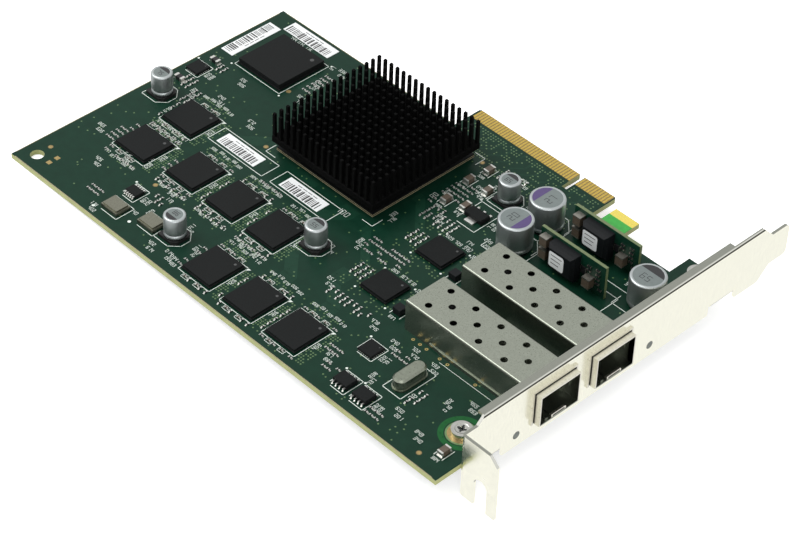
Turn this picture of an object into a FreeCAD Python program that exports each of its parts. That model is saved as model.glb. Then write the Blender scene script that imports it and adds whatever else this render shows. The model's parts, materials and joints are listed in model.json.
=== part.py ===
import FreeCAD, Part
import os
import re
import Sketcher

# A dual-port network interface card for a PCI Express slot.
#
# Frame: the origin is the middle of the key notch, on the lower edge of the
# edge connector and on the component face of the board.  +X runs along the
# board towards the bracket, +Y points down into the slot, +Z is the component
# side.  All sizes are in millimetres.

SIZES = [
    ("board_length", 167.65, "board, from the free end to the bracket end"),
    ("board_height", 111.15, "board, from the connector's lower edge to the top edge"),
    ("board_thickness", 1.57, "board thickness"),
    ("bracket_end", 55.85, "key notch centre to the bracket end of the board"),
    ("shoulder", 10.6, "lower edge of the board's body above the connector's lower edge"),
    ("key_width", 1.9, "key notch width"),
    ("key_depth", 7.9, "key notch depth"),
    ("short_tab", 11.65, "width of the short connector tab"),
    ("long_tab", 38.65, "width of the long connector tab"),
    ("tab_corner", 0.9, "corner chamfer of the connector tabs"),
    ("tab_bevel", 0.45, "lead-in bevel on the connector's lower edge"),
    ("spare_gap", 3.1, "gap between the short tab and the retention tab"),
    ("spare_width", 8.4, "retention tab width"),
    ("spare_tip", 3.8, "retention tab tip above the connector's lower edge"),
    ("recess", 12.2, "lower edge beside the bracket foot"),
    ("foot_width", 13.4, "width of the board's foot at the bracket"),
    ("foot_tip", 4.3, "foot tip above the connector's lower edge"),
    ("tooling_inset", 5.08, "tooling hole centre from both board edges"),
    ("tooling_hole", 4.0, "tooling hole diameter"),
    ("contact_pitch", 1.0, "edge contact pitch"),
    ("contact_width", 0.7, "edge contact width"),
    ("contact_length", 4.2, "edge contact length"),
    ("contact_setback", 0.5, "edge contact distance from the lower edge"),
    ("contact_edge", 0.2, "bare board between the key notch and the next contact"),
    ("plating", 0.05, "thickness of the contact plating"),
    ("short_contacts", 11, "contacts on the short tab, each face"),
    ("long_contacts", 38, "contacts on the long tab, each face"),
    ("sheet", 0.86, "bracket sheet thickness"),
    ("bracket_gap", 0.75, "board end to the bracket's inner face"),
    ("bracket_width", 18.42, "bracket width"),
    ("bracket_top", 13.7, "component-side edge of the bracket above the board"),
    ("ear_face", 103.9, "outer face of the ear above the connector's lower edge"),
    ("ear_reach", 11.43, "ear length out from the bracket's outer face"),
    ("ear_top", 11.5, "component-side edge of the ear above the board"),
    ("ear_width", 20.2, "ear width"),
    ("ear_corner", 2.6, "radius at the ear's outer corner"),
    ("ear_notch", 4.42, "width of the ear's screw notch"),
    ("ear_notch_place", 6.35, "screw notch centre from the bracket's outer face"),
    ("ear_notch_depth", 9.6, "screw notch depth, to the top of its round end"),
    ("bracket_shoulder", 7.2, "length of the ear end that lies lower than the flange"),
    ("taper_start", 6.2, "start of the tail's tapers past the connector's lower edge"),
    ("tail_width", 10.19, "tail width"),
    ("tail_end", 17.2, "tail end past the connector's lower edge"),
    ("tail_corner", 1.6, "radius at the tail's corners"),
    ("flange_depth", 2.5, "stiffening flange, from the bracket's outer face"),
    ("flange_start", 96.7, "ear end of the flange above the connector's lower edge"),
    ("flange_end", 4.6, "tail end of the flange above the connector's lower edge"),
    ("bend", 0.4, "inner bend radius of the bracket"),
    ("lug_width", 9.0, "width of the bracket's board lugs"),
    ("lug_reach", 13.4, "board lug length from the bracket's inner face"),
    ("lug_relief", 0.8, "slit beside each lug in the bracket face"),
    ("lug_near", 95.1, "first lug centre above the connector's lower edge"),
    ("lug_far", 8.2, "second lug centre above the connector's lower edge"),
    ("screw_inset", 7.3, "bracket screw centre from the board end"),
    ("screw_hole", 3.2, "bracket screw hole in the board"),
    ("screw_thread", 2.9, "bracket screw shank diameter"),
    ("screw_head", 5.6, "bracket screw head diameter"),
    ("screw_head_height", 1.7, "bracket screw head height"),
    ("screw_drive", 2.0, "hexagon drive across its corners"),
    ("cage_nose", 2.34, "reach of the cages out of the bracket face"),
    ("cage_length", 47.9, "cage length"),
    ("cage_width", 14.0, "cage width"),
    ("cage_height", 9.8, "cage height"),
    ("cage_wall", 0.3, "cage sheet thickness"),
    ("cage_place", 52.3, "centre of the first cage above the connector's lower edge"),
    ("cage_pitch", 20.1, "distance between the cage centres"),
    ("cage_lip", 1.1, "height of the cage base's side lips"),
    ("lip_start", 12.5, "lip start from the cage's rear"),
    ("lip_length", 24.0, "lip length"),
    ("cage_tail_gap", 9.0, "open length under the rear of the cage"),
    ("vent", 2.0, "vent hole diameter"),
    ("vent_pitch", 8.95, "vent hole pitch along the cage"),
    ("vent_spread", 8.0, "distance between the outer vent rows"),
    ("vent_start", 5.2, "first vent from the cage's rear"),
    ("vents", 4, "vents in a row"),
    ("latch_width", 4.6, "latch window in the cage base"),
    ("latch_length", 2.6, "length of the latch window"),
    ("latch_place", 6.5, "latch window from the cage's mouth"),
    ("port_gap", 0.45, "gap between a cage and the bracket opening"),
    ("gasket_length", 2.2, "length of the gasket collar behind the bracket face"),
    ("socket_length", 8.6, "length of the module socket inside a cage"),
    ("socket_height", 7.2, "height of the module socket"),
    ("socket_width", 11.6, "width of the module socket"),
    ("socket_slot", 1.3, "height of the socket's card slot"),
    ("socket_slot_width", 9.4, "width of the socket's card slot"),
    ("socket_slot_depth", 6.0, "depth of the socket's card slot"),
    ("light_pipe", 2.2, "diameter of the port lights"),
    ("light_clearance", 0.2, "light hole diameter beyond the pipe's"),
    ("light_near", 85.0, "first port light above the connector's lower edge"),
    ("light_far", 36.4, "second port light above the connector's lower edge"),
    ("controller_x", 44.5, "controller centre from the key notch, towards the free end"),
    ("controller_y", 36.6, "controller centre above the connector's lower edge"),
    ("controller_side", 38.5, "controller substrate side"),
    ("controller_ball", 0.5, "controller stand-off"),
    ("controller_base", 1.2, "controller substrate thickness"),
    ("controller_lid_side", 31.0, "controller lid side"),
    ("controller_lid", 2.4, "controller lid thickness"),
    ("controller_rim", 1.0, "bare rim under the controller substrate, round its balls"),
    ("pad_side", 28.0, "thermal pad side"),
    ("pad_thickness", 0.3, "thermal pad thickness"),
    ("sink_side", 40.4, "heat sink side"),
    ("sink_shift", 0.6, "how far the heat sink sits off the controller's centre"),
    ("sink_top", 14.0, "tips of the heat sink's pins above the board"),
    ("sink_base", 2.0, "heat sink base thickness"),
    ("sink_pins", 17, "pins along each side of the heat sink"),
    ("pin_tip", 1.15, "width of a pin at its tip"),
    ("pin_root", 1.55, "width of a pin at its root"),
    ("standoff", 0.3, "solder gap under a ball-grid package"),
    ("bridge_side", 18.0, "side of the second large chip"),
    ("bridge_height", 2.1, "height of the second large chip"),
    ("bridge_x", 19.4, "second large chip from the free end"),
    ("bridge_y", 28.6, "second large chip above the connector's lower edge"),
    ("memory_wide", 11.4, "memory chip width"),
    ("memory_long", 12.6, "memory chip length"),
    ("memory_height", 1.2, "memory chip height"),
    ("memory_pitch", 16.5, "memory chip pitch along the board"),
    ("memory_row_one", 32.5, "inner memory row from the board's top edge"),
    ("memory_row_two", 10.4, "outer memory row from the board's top edge"),
    ("memory_column", 106.3, "last memory column from the free end"),
    ("memory_side_x", 21.6, "turned memory chips from the free end"),
    ("memory_side_y", 29.8, "first turned memory chip from the board's top edge"),
    ("memory_side_pitch", 16.9, "distance between the turned memory chips"),
    ("package_base", 0.35, "substrate thickness of a ball-grid package"),
    ("package_rim", 0.35, "substrate rim round the moulded cap"),
    ("phy_wide", 10.0, "line chip width"),
    ("phy_long", 9.4, "line chip length"),
    ("phy_height", 1.3, "line chip height"),
    ("phy_x", 14.7, "line chip centre behind the rear of its cage"),
    ("can_body", 6.3, "small capacitor can diameter"),
    ("can_height", 7.7, "small capacitor height above the board"),
    ("can_base", 6.6, "small capacitor base side"),
    ("big_can_body", 10.0, "large capacitor can diameter"),
    ("big_can_height", 9.9, "large capacitor height above the board"),
    ("big_can_base", 10.3, "large capacitor base side"),
    ("can_plinth", 1.0, "thickness of a capacitor's base"),
    ("can_snip", 1.2, "cut corner of a capacitor's base"),
    ("can_shoulder", 0.45, "bevel at the top of a can"),
    ("supply_start", 15.3, "start of the supply boards past the key notch"),
    ("supply_length", 23.0, "length of a supply board"),
    ("supply_height", 10.6, "height of a supply board"),
    ("supply_thickness", 1.0, "thickness of a supply board"),
    ("supply_place", 20.0, "first supply board above the connector's lower edge"),
    ("supply_pitch", 12.8, "distance between the supply boards"),
    ("choke_length", 9.2, "supply choke length"),
    ("choke_height", 8.2, "supply choke height"),
    ("choke_depth", 3.4, "supply choke depth"),
    ("choke_start", 5.2, "choke from the end of its supply board"),
    ("choke_low", 1.6, "lower face of the choke above the board"),
    ("choke_corner", 0.9, "chamfer on the choke's outer edges"),
    ("ceramic_side", 2.6, "side of a large ceramic capacitor"),
    ("ceramic_long", 3.2, "length of a large ceramic capacitor"),
    ("ceramic_depth", 2.3, "height of a large ceramic capacitor"),
    ("ceramic_low", 3.8, "lower ceramic capacitor centre above the board"),
    ("ceramic_step", 4.0, "distance between the stacked ceramic capacitors"),
    ("ceramic_far", 18.2, "outer ceramic capacitor from the end of its supply board"),
    ("pin_pitch", 1.78, "pitch of the supply board's pins"),
    ("pin_side", 0.5, "thickness of a supply pin"),
    ("pin_foot", 1.3, "foot of a supply pin on the board"),
    ("pin_height", 2.4, "height of a supply pin"),
    ("supply_pins", 11, "pins on a supply board"),
    ("quad_side", 5.0, "side of a small leadless chip"),
    ("quad_height", 0.9, "height of a small leadless chip"),
    ("quad_bevel", 0.15, "bevel round the top of a small leadless chip"),
    ("lead_width", 0.4, "width of a gull-wing lead"),
    ("lead_sheet", 0.2, "thickness of a gull-wing lead"),
    ("lead_reach", 1.05, "reach of a gull-wing lead from its package"),
    ("lead_foot", 0.5, "foot length of a gull-wing lead"),
    ("lead_rise", 0.75, "height of a lead where it leaves the package"),
    ("lead_gap", 0.12, "gap under a package with leads"),
    ("can_lid_wide", 6.4, "oscillator width"),
    ("can_lid_long", 5.0, "oscillator length"),
    ("can_lid_height", 1.5, "oscillator height"),
    ("can_lid_seat", 1.05, "height of the oscillator's ceramic body"),
    ("can_lid_rim", 0.4, "ceramic rim round the oscillator's lid"),
    ("crystal_wide", 4.7, "crystal can width"),
    ("crystal_long", 10.8, "crystal can length"),
    ("crystal_height", 3.6, "crystal can height"),
    ("crystal_foot", 0.5, "thickness of the crystal's flange"),
    ("label_width", 4.8, "label width"),
    ("label_long", 19.0, "length of a long label"),
    ("label_short", 15.4, "length of a short label"),
    ("label_paper", 0.1, "label thickness"),
    ("regulator_wide", 6.6, "regulator body width"),
    ("regulator_long", 5.6, "regulator body length"),
    ("regulator_height", 2.3, "regulator height"),
    ("regulator_tab", 1.7, "reach of the regulator's metal tab"),
    ("regulator_lead", 2.5, "reach of the regulator's leads"),
    ("regulator_foot", 0.8, "width of a regulator lead"),
    ("regulator_foot_place", 1.85, "inner side of a regulator lead from the middle"),
    ("chip_long", 1.0, "length of a small chip capacitor or resistor"),
    ("chip_wide", 0.5, "width and height of a small chip capacitor or resistor"),
    ("chip_pitch", 2.4, "decoupling capacitors from a memory chip's middle line"),
    ("chip_gap", 1.3, "decoupling capacitors from the edge of a memory chip"),
    ("resistor_pitch", 1.9, "distance between the line chips' resistors"),
    ("mlcc_long", 3.2, "length of a filter capacitor"),
    ("mlcc_wide", 1.9, "width of a filter capacitor"),
    ("mlcc_height", 1.5, "height of a filter capacitor"),
    ("coil_side", 2.6, "side of a line choke"),
    ("coil_height", 2.0, "height of a line choke"),
    ("coil_x", 5.3, "line choke centre behind the rear of its cage"),
    ("coil_shift", 3.7, "line choke from the middle of its cage"),
    ("eeprom_wide", 4.9, "width of an eight-lead chip"),
    ("eeprom_long", 3.9, "length of an eight-lead chip's body"),
    ("eeprom_height", 1.6, "height of an eight-lead chip"),
    ("eeprom_pitch", 1.27, "lead pitch of an eight-lead chip"),
    ("eeprom_leads", 4, "leads on each side of an eight-lead chip"),
    ("driver_wide", 4.4, "width of the ten-lead chip"),
    ("driver_long", 3.0, "length of the ten-lead chip's body"),
    ("driver_height", 1.1, "height of the ten-lead chip"),
    ("driver_pitch", 0.8, "lead pitch of the ten-lead chip"),
    ("driver_leads", 5, "leads on each side of the ten-lead chip"),
]

FREE = "free end"
BRACKET = "bracket end"
TOP = "top edge"
SLOT = "connector's lower edge"

# Centres of single components, each from the end and the edge of the board
# that it belongs to, so that it keeps clear of the others when the board grows.
LAYOUT = [
    ("corner_can", FREE, 6.9, SLOT, 62.7),
    ("top_can", FREE, 56.8, TOP, 11.3),
    ("middle_can", FREE, 84.65, TOP, 36.5),
    ("connector_can", BRACKET, 61.95, SLOT, 23.2),
    ("outer_polymer", BRACKET, 47.75, SLOT, 35.55),
    ("inner_polymer", BRACKET, 48.05, SLOT, 23.2),
    ("bracket_can", BRACKET, 9.15, SLOT, 26.3),
    ("clock", BRACKET, 43.85, TOP, 19.95),
    ("corner", FREE, 4.7, SLOT, 47.6),
    ("first_eeprom", BRACKET, 39.55, TOP, 6.95),
    ("second_eeprom", BRACKET, 32.45, TOP, 6.75),
    ("driver", FREE, 35.8, TOP, 14.65),
    ("first_oscillator", FREE, 37.1, TOP, 6.95),
    ("second_oscillator", FREE, 48.8, TOP, 9.85),
    ("crystal", BRACKET, 29.25, TOP, 19.35),
    ("regulator", BRACKET, 62.75, SLOT, 34.5),
    ("upright_label", FREE, 4.2, SLOT, 26.9),
    ("lower_label", FREE, 16.3, SLOT, 14.3),
    ("first_label", FREE, 41, SLOT, 62.9),
    ("second_label", FREE, 66.8, SLOT, 62.8),
    ("filter_one", BRACKET, 74.05, SLOT, 18.4),
    ("filter_two", BRACKET, 74.95, SLOT, 25.3),
    ("filter_three", BRACKET, 68.15, SLOT, 25),
    ("filter_four", BRACKET, 73.25, SLOT, 35.7),
    ("filter_five", BRACKET, 67.55, SLOT, 34),
    ("filter_six", BRACKET, 5.35, TOP, 8.15),
]
for spot, end, from_end, edge, from_edge in LAYOUT:
    SIZES.append((spot + "_x", from_end, f"{spot.replace('_', ' ')} centre from the {end}"))
    SIZES.append((spot + "_y", from_edge, f"{spot.replace('_', ' ')} centre from the {edge}"))

doc = FreeCAD.newDocument("NetworkCard")
sheet = doc.addObject("Spreadsheet::Sheet", "Sizes")
for row, (alias, value, note) in enumerate(SIZES, start=1):
    sheet.set(f"A{row}", note)
    sheet.set(f"B{row}", str(value))
    sheet.setAlias(f"B{row}", alias)
doc.recompute()

ALIASES = {alias for alias, value, note in SIZES}
NODES = []
HOLE_SIDES = 10
HEXAGON = 6
TOUCHING = 0.001

# Datum lines that several pieces share, as formulas.
FREE_END = "(bracket_end - board_length)"
TOP_EDGE = "(-board_height)"
BRACKET_IN = "(bracket_end + bracket_gap)"
BRACKET_OUT = "(bracket_end + bracket_gap + sheet)"
BRACKET_LOW = "(bracket_top - bracket_width)"
SHORT_TAB_END = "(key_width / 2 + short_tab)"
SPARE_START = "(key_width / 2 + short_tab + spare_gap)"
SCREW_X = "(bracket_end - screw_inset)"
CAGE_FRONT = "(bracket_end + bracket_gap + sheet + cage_nose)"
CAGE_REAR = "(bracket_end + bracket_gap + sheet + cage_nose - cage_length)"
LIGHT_Z = "(-board_thickness / 2)"


DATUMS = {
    FREE: FREE_END + " + ",
    BRACKET: "bracket_end - ",
    TOP: TOP_EDGE + " + ",
    SLOT: "-",
}
LAID_OUT = {spot: (end, edge) for spot, end, from_end, edge, from_edge in LAYOUT}


def at(spot):
    """Where the layout puts a component."""
    end, edge = LAID_OUT[spot]
    return f"({DATUMS[end]}{spot}_x)", f"({DATUMS[edge]}{spot}_y)"


def ref(formula):
    """Point the plain size names of a formula at the spreadsheet."""
    def swap(found):
        word = found.group(0)
        return "Sizes." + word if word in ALIASES else word
    return re.sub(r"[a-z_]+", swap, str(formula))


def number(formula):
    """The present value of a formula."""
    return float(sheet.evalExpression(ref(formula)))


def put(thing, x="0", y="0", z="0"):
    """Bind an object's place to formulas."""
    for letter, formula in (("x", x), ("y", y), ("z", z)):
        if formula != "0":
            thing.setExpression(f"Placement.Base.{letter}", ref(formula))


def keep(thing, label):
    """Hand an object in as one node of the model."""
    thing.Label = label
    NODES.append(thing)
    return thing


def camel(label):
    """An object name made from a node's label."""
    return "".join(word.capitalize() for word in label.split("_"))


# --------------------------------------------------------------- sketches

def new_body(name):
    body = doc.addObject("PartDesign::Body", name)
    body.AllowCompound = True
    return body


def new_sketch(body, name, plane, offset="0"):
    """A sketch on one of the body's own planes, shifted along its normal."""
    sketch = body.newObject("Sketcher::SketchObject", name)
    faces = [face for face in body.Origin.OriginFeatures if face.Role == plane]
    sketch.AttachmentSupport = [(faces[0], "")]
    sketch.MapMode = "FlatFace"
    if offset != "0":
        sketch.AttachmentOffset = FreeCAD.Placement(
            FreeCAD.Vector(0, 0, number(offset)), FreeCAD.Rotation())
        sketch.setExpression("AttachmentOffset.Base.z", ref(offset))
    return sketch


def pin(sketch, geometry, point, x, y):
    """Dimension a point of a sketch from the sketch origin."""
    for kind, formula, axis in (("DistanceX", x, -2), ("DistanceY", y, -1)):
        if formula == "0":
            sketch.addConstraint(Sketcher.Constraint("PointOnObject", geometry, point, axis))
        else:
            index = sketch.addConstraint(
                Sketcher.Constraint(kind, -1, 1, geometry, point, number(formula)))
            sketch.setExpression(f"Constraints[{index}]", ref(formula))


def outline(sketch, corners):
    """A closed polygon whose corners are pairs of formulas."""
    places = [FreeCAD.Vector(number(x), number(y), 0) for x, y in corners]
    first = sketch.GeometryCount
    count = len(corners)
    for index, start in enumerate(places):
        finish = places[(index + 1) % count]
        sketch.addGeometry(Part.LineSegment(start, finish), False)
    for index, (x, y) in enumerate(corners):
        following = first + (index + 1) % count
        sketch.addConstraint(Sketcher.Constraint("Coincident", first + index, 2, following, 1))
        pin(sketch, first + index, 1, x, y)


def rectangle(sketch, x_low, x_high, y_low, y_high):
    outline(sketch, [(x_low, y_low), (x_high, y_low), (x_high, y_high), (x_low, y_high)])


def circle(sketch, x, y, diameter):
    centre = FreeCAD.Vector(number(x), number(y), 0)
    radius = number(diameter) / 2
    index = sketch.addGeometry(Part.Circle(centre, FreeCAD.Vector(0, 0, 1), radius), False)
    pin(sketch, index, 3, x, y)
    size = sketch.addConstraint(Sketcher.Constraint("Diameter", index, 2 * radius))
    sketch.setExpression(f"Constraints[{size}]", ref(diameter))


def many_sided(sketch, x, y, diameter, sides=HOLE_SIDES):
    """A small round hole as a regular polygon, which keeps a field of vents light."""
    turn = 360 / sides
    outline(sketch, [(f"{x} + ({diameter}) / 2 * cos({turn * side} deg)",
                      f"{y} + ({diameter}) / 2 * sin({turn * side} deg)")
                     for side in range(sides)])


def pad(body, sketch, length, reverse=False):
    feature = body.newObject("PartDesign::Pad", sketch.Name + "Pad")
    feature.Profile = sketch
    feature.Reversed = reverse
    feature.setExpression("Length", ref(length))
    doc.recompute()
    return feature


def cut_through(body, sketch):
    """Cut a sketch right through the body, on both sides of its plane."""
    return cut(body, sketch, None)


def cut(body, sketch, length, reverse=False):
    before = body.Shape.Volume
    feature = body.newObject("PartDesign::Pocket", sketch.Name + "Pocket")
    feature.Profile = sketch
    if length is None:
        feature.Type = "ThroughAll"
        feature.SideType = "Symmetric"
    else:
        feature.Reversed = reverse
        feature.setExpression("Length", ref(length))
    doc.recompute()
    if not body.Shape.Volume < before:
        raise RuntimeError(f"{feature.Name} cuts nothing")
    return feature


def edges_of(feature, test):
    """Names of a feature's edges whose two ends both pass a test."""
    names = []
    for index, edge in enumerate(feature.Shape.Edges, start=1):
        if len(edge.Vertexes) == 2 and all(test(end.Point) for end in edge.Vertexes):
            names.append(f"Edge{index}")
    return names


def near(one, other):
    return abs(one - other) < TOUCHING


def dress(body, kind, feature, names, size):
    """A fillet or a chamfer on named edges of the last feature."""
    if not names:
        raise RuntimeError(f"no edges to dress on {feature.Name}")
    shaped = body.newObject(f"PartDesign::{kind}", feature.Name + kind)
    shaped.Base = (feature, names)
    shaped.setExpression("Radius" if kind == "Fillet" else "Size", ref(size))
    doc.recompute()
    return shaped


def pattern(body, feature, sketch, span, count, across=None):
    """Repeat a feature along a sketch's axes; span is first to last copy."""
    row = body.newObject("PartDesign::LinearPattern", feature.Name + "Row")
    row.Originals = [feature]
    body.Tip = row
    row.Direction = (sketch, ["H_Axis"])
    row.setExpression("Length", ref(span))
    row.setExpression("Occurrences", ref(count))
    if across:
        row.Direction2 = (sketch, ["V_Axis"])
        row.setExpression("Length2", ref(across[0]))
        row.setExpression("Occurrences2", ref(across[1]))
    doc.recompute()
    return row


# ------------------------------------------------------------------ board

def make_board():
    """The board's outline, with its connector tabs, key notch and holes."""
    body = new_body("Board")
    sketch = new_sketch(body, "BoardOutline", "XY_Plane", "-board_thickness")
    outline(sketch, [
        (FREE_END, TOP_EDGE),
        ("bracket_end", TOP_EDGE),
        ("bracket_end", "-foot_tip"),
        ("bracket_end - foot_width", "-foot_tip"),
        ("bracket_end - foot_width", "-recess"),
        (SPARE_START + " + spare_width", "-recess"),
        (SPARE_START + " + spare_width", "-spare_tip"),
        (SPARE_START, "-spare_tip"),
        (SPARE_START, "-shoulder"),
        (SHORT_TAB_END, "-shoulder"),
        (SHORT_TAB_END, "-tab_corner"),
        (SHORT_TAB_END + " - tab_corner", "0"),
        ("key_width / 2 + tab_corner / 2", "0"),
        ("key_width / 2", "-tab_corner / 2"),
        ("key_width / 2", "-key_depth"),
        ("-key_width / 2", "-key_depth"),
        ("-key_width / 2", "-tab_corner / 2"),
        ("-key_width / 2 - tab_corner / 2", "0"),
        ("-key_width / 2 - long_tab + tab_corner", "0"),
        ("-key_width / 2 - long_tab", "-tab_corner"),
        ("-key_width / 2 - long_tab", "-shoulder"),
        (FREE_END, "-shoulder"),
    ])
    board = pad(body, sketch, "board_thickness")
    lower = edges_of(board, lambda point: near(point.y, 0))
    lower = [name for name in lower if near(board.Shape.getElement(name).BoundBox.ZLength, 0)]
    dress(body, "Chamfer", board, lower, "tab_bevel")
    holes = new_sketch(body, "BoardHoles", "XY_Plane")
    circle(holes, FREE_END + " + tooling_inset", TOP_EDGE + " + tooling_inset", "tooling_hole")
    many_sided(holes, SCREW_X, "-lug_near", "screw_hole")
    many_sided(holes, SCREW_X, "-lug_far", "screw_hole")
    cut_through(body, holes)
    return keep(body, "pcb")


def make_contacts():
    """Plated edge contacts, a row on each tab and on each face."""
    body = new_body("Contacts")
    rows = [
        ("Short", "key_width / 2 + contact_edge", "short_contacts"),
        ("Long", "-key_width / 2 - contact_edge - contact_width - contact_pitch * (long_contacts - 1)",
         "long_contacts"),
    ]
    for name, start, count in rows:
        for side, offset in (("Front", "0"), ("Back", "-board_thickness - plating")):
            sketch = new_sketch(body, f"{name}{side}Contact", "XY_Plane", offset)
            rectangle(sketch, start, start + " + contact_width",
                      "-contact_setback - contact_length", "-contact_setback")
            first = pad(body, sketch, "plating")
            pattern(body, first, sketch, f"contact_pitch * ({count} - 1)", count)
    return keep(body, "edge_contacts")


# ---------------------------------------------------------------- bracket

def make_bracket():
    """One folded sheet: face, stiffening flange, ear, tail and two board lugs."""
    body = new_body("Bracket")
    middle = "(bracket_top - bracket_width / 2)"
    face = new_sketch(body, "BracketFace", "YZ_Plane", BRACKET_IN)
    shift = "(bracket_top - ear_top)"
    outline(face, [
        ("-ear_face", BRACKET_LOW),
        ("taper_start", BRACKET_LOW),
        ("taper_start + bracket_width / 2 - tail_width / 2", middle + " - tail_width / 2"),
        ("tail_end", middle + " - tail_width / 2"),
        ("tail_end", middle + " + tail_width / 2"),
        ("taper_start + bracket_width / 2 - tail_width / 2", middle + " + tail_width / 2"),
        ("taper_start", "bracket_top"),
        ("-ear_face + bracket_shoulder", "bracket_top"),
        ("-ear_face + bracket_shoulder - " + shift, "ear_top"),
        ("-ear_face", "ear_top"),
    ])
    plate = pad(body, face, "sheet")
    corners = edges_of(plate, lambda point: near(point.y, number("tail_end")))
    corners = [name for name in corners if plate.Shape.getElement(name).BoundBox.XLength > TOUCHING]
    dress(body, "Fillet", plate, corners, "tail_corner")
    flange = new_sketch(body, "BracketFlange", "XY_Plane", "bracket_top - sheet")
    rectangle(flange, BRACKET_OUT + " - flange_depth", BRACKET_OUT, "-flange_start", "-flange_end")
    folded = pad(body, flange, "sheet")
    corner = edges_of(folded, lambda point: near(point.x, number(BRACKET_OUT))
                      and near(point.z, number("bracket_top")))
    dress(body, "Fillet", folded, corner, "sheet")
    ear = new_sketch(body, "BracketEar", "XZ_Plane", "ear_face")
    reach = BRACKET_OUT + " + ear_reach"
    low = "(ear_top - ear_width)"
    outline(ear, [
        (BRACKET_IN, low),
        (reach, low),
        (reach, "ear_top - ear_corner"),
        (reach + " - ear_corner", "ear_top"),
        (BRACKET_IN, "ear_top"),
    ])
    tab = pad(body, ear, "sheet", reverse=True)
    bend_edge = edges_of(tab, lambda point: near(point.y, -number("ear_face"))
                         and near(point.x, number(BRACKET_IN)))
    dress(body, "Fillet", tab, bend_edge, "sheet + bend")
    notch_x = BRACKET_OUT + " + ear_notch_place"
    notch = new_sketch(body, "EarNotch", "XZ_Plane", "ear_face")
    outline(notch, [
        (notch_x + " - ear_notch / 2", low + " - sheet"),
        (notch_x + " + ear_notch / 2", low + " - sheet"),
        (notch_x + " + ear_notch / 2", low + " + ear_notch_depth - ear_notch / 2"),
        (notch_x + " - ear_notch / 2", low + " + ear_notch_depth - ear_notch / 2"),
    ])
    cut(body, notch, "2 * sheet")
    round_end = new_sketch(body, "EarNotchEnd", "XZ_Plane", "ear_face")
    circle(round_end, notch_x, low + " + ear_notch_depth - ear_notch / 2", "ear_notch")
    cut(body, round_end, "2 * sheet")
    ports = new_sketch(body, "BracketPorts", "YZ_Plane", BRACKET_OUT)
    for place in ("-cage_place", "-cage_place - cage_pitch"):
        half = "(cage_width / 2 + port_gap)"
        rectangle(ports, f"{place} - {half}", f"{place} + {half}",
                  "-port_gap", "cage_height + port_gap")
    cut(body, ports, "sheet")
    lights = new_sketch(body, "BracketLights", "YZ_Plane", BRACKET_OUT)
    for place in ("-light_near", "-light_far"):
        many_sided(lights, place, LIGHT_Z, "light_pipe + light_clearance")
    cut(body, lights, "sheet")
    for name, place in (("Near", "-lug_near"), ("Far", "-lug_far")):
        make_lug(body, name, place)
    return keep(body, "bracket")


def make_lug(body, name, place):
    """A lug cut free from the face and folded under the board for a screw."""
    half = "lug_width / 2"
    window = new_sketch(body, f"Lug{name}Window", "YZ_Plane", BRACKET_OUT)
    rectangle(window, f"{place} - {half} - lug_relief", f"{place} + {half} + lug_relief",
              BRACKET_LOW + " - sheet", "-board_thickness - sheet")
    cut(body, window, "sheet")
    for end, side in (("Low", "-"), ("High", "+")):
        slit = new_sketch(body, f"Lug{name}Slit{end}", "YZ_Plane", BRACKET_OUT)
        edge = f"{place} {side} {half}"
        rectangle(slit, edge, f"{edge} {side} lug_relief",
                  "-board_thickness - sheet", "-board_thickness + bend")
        cut(body, slit, "sheet")
    lug = new_sketch(body, f"Lug{name}", "XY_Plane", "-board_thickness - sheet")
    rectangle(lug, BRACKET_IN + " - lug_reach", BRACKET_OUT, f"{place} - {half}", f"{place} + {half}")
    tongue = pad(body, lug, "sheet")
    outer = edges_of(tongue, lambda point: near(point.x, number(BRACKET_OUT))
                     and near(point.z, number("-board_thickness - sheet"))
                     and abs(point.y - number(place)) < number(half) + TOUCHING)
    dress(body, "Fillet", tongue, outer, "sheet")
    hole = new_sketch(body, f"Lug{name}Hole", "XY_Plane", "-board_thickness - sheet")
    many_sided(hole, SCREW_X, place, "screw_thread")
    cut(body, hole, "sheet", reverse=True)


def make_screws():
    """Pan-head screws that hold the bracket's lugs to the board."""
    body = new_body("BracketScrews")
    for name, place in (("Near", "-lug_near"), ("Far", "-lug_far")):
        shank = new_sketch(body, f"Shank{name}", "XY_Plane", "-board_thickness - sheet")
        many_sided(shank, SCREW_X, place, "screw_thread")
        pad(body, shank, "board_thickness + sheet")
        head = new_sketch(body, f"Head{name}", "XY_Plane")
        circle(head, SCREW_X, place, "screw_head")
        pad(body, head, "screw_head_height")
        drive = new_sketch(body, f"Drive{name}", "XY_Plane", "screw_head_height")
        many_sided(drive, SCREW_X, place, "screw_drive", HEXAGON)
        cut(body, drive, "screw_head_height / 2")
    return keep(body, "bracket_screws")


# ------------------------------------------------------------------ ports

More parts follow.
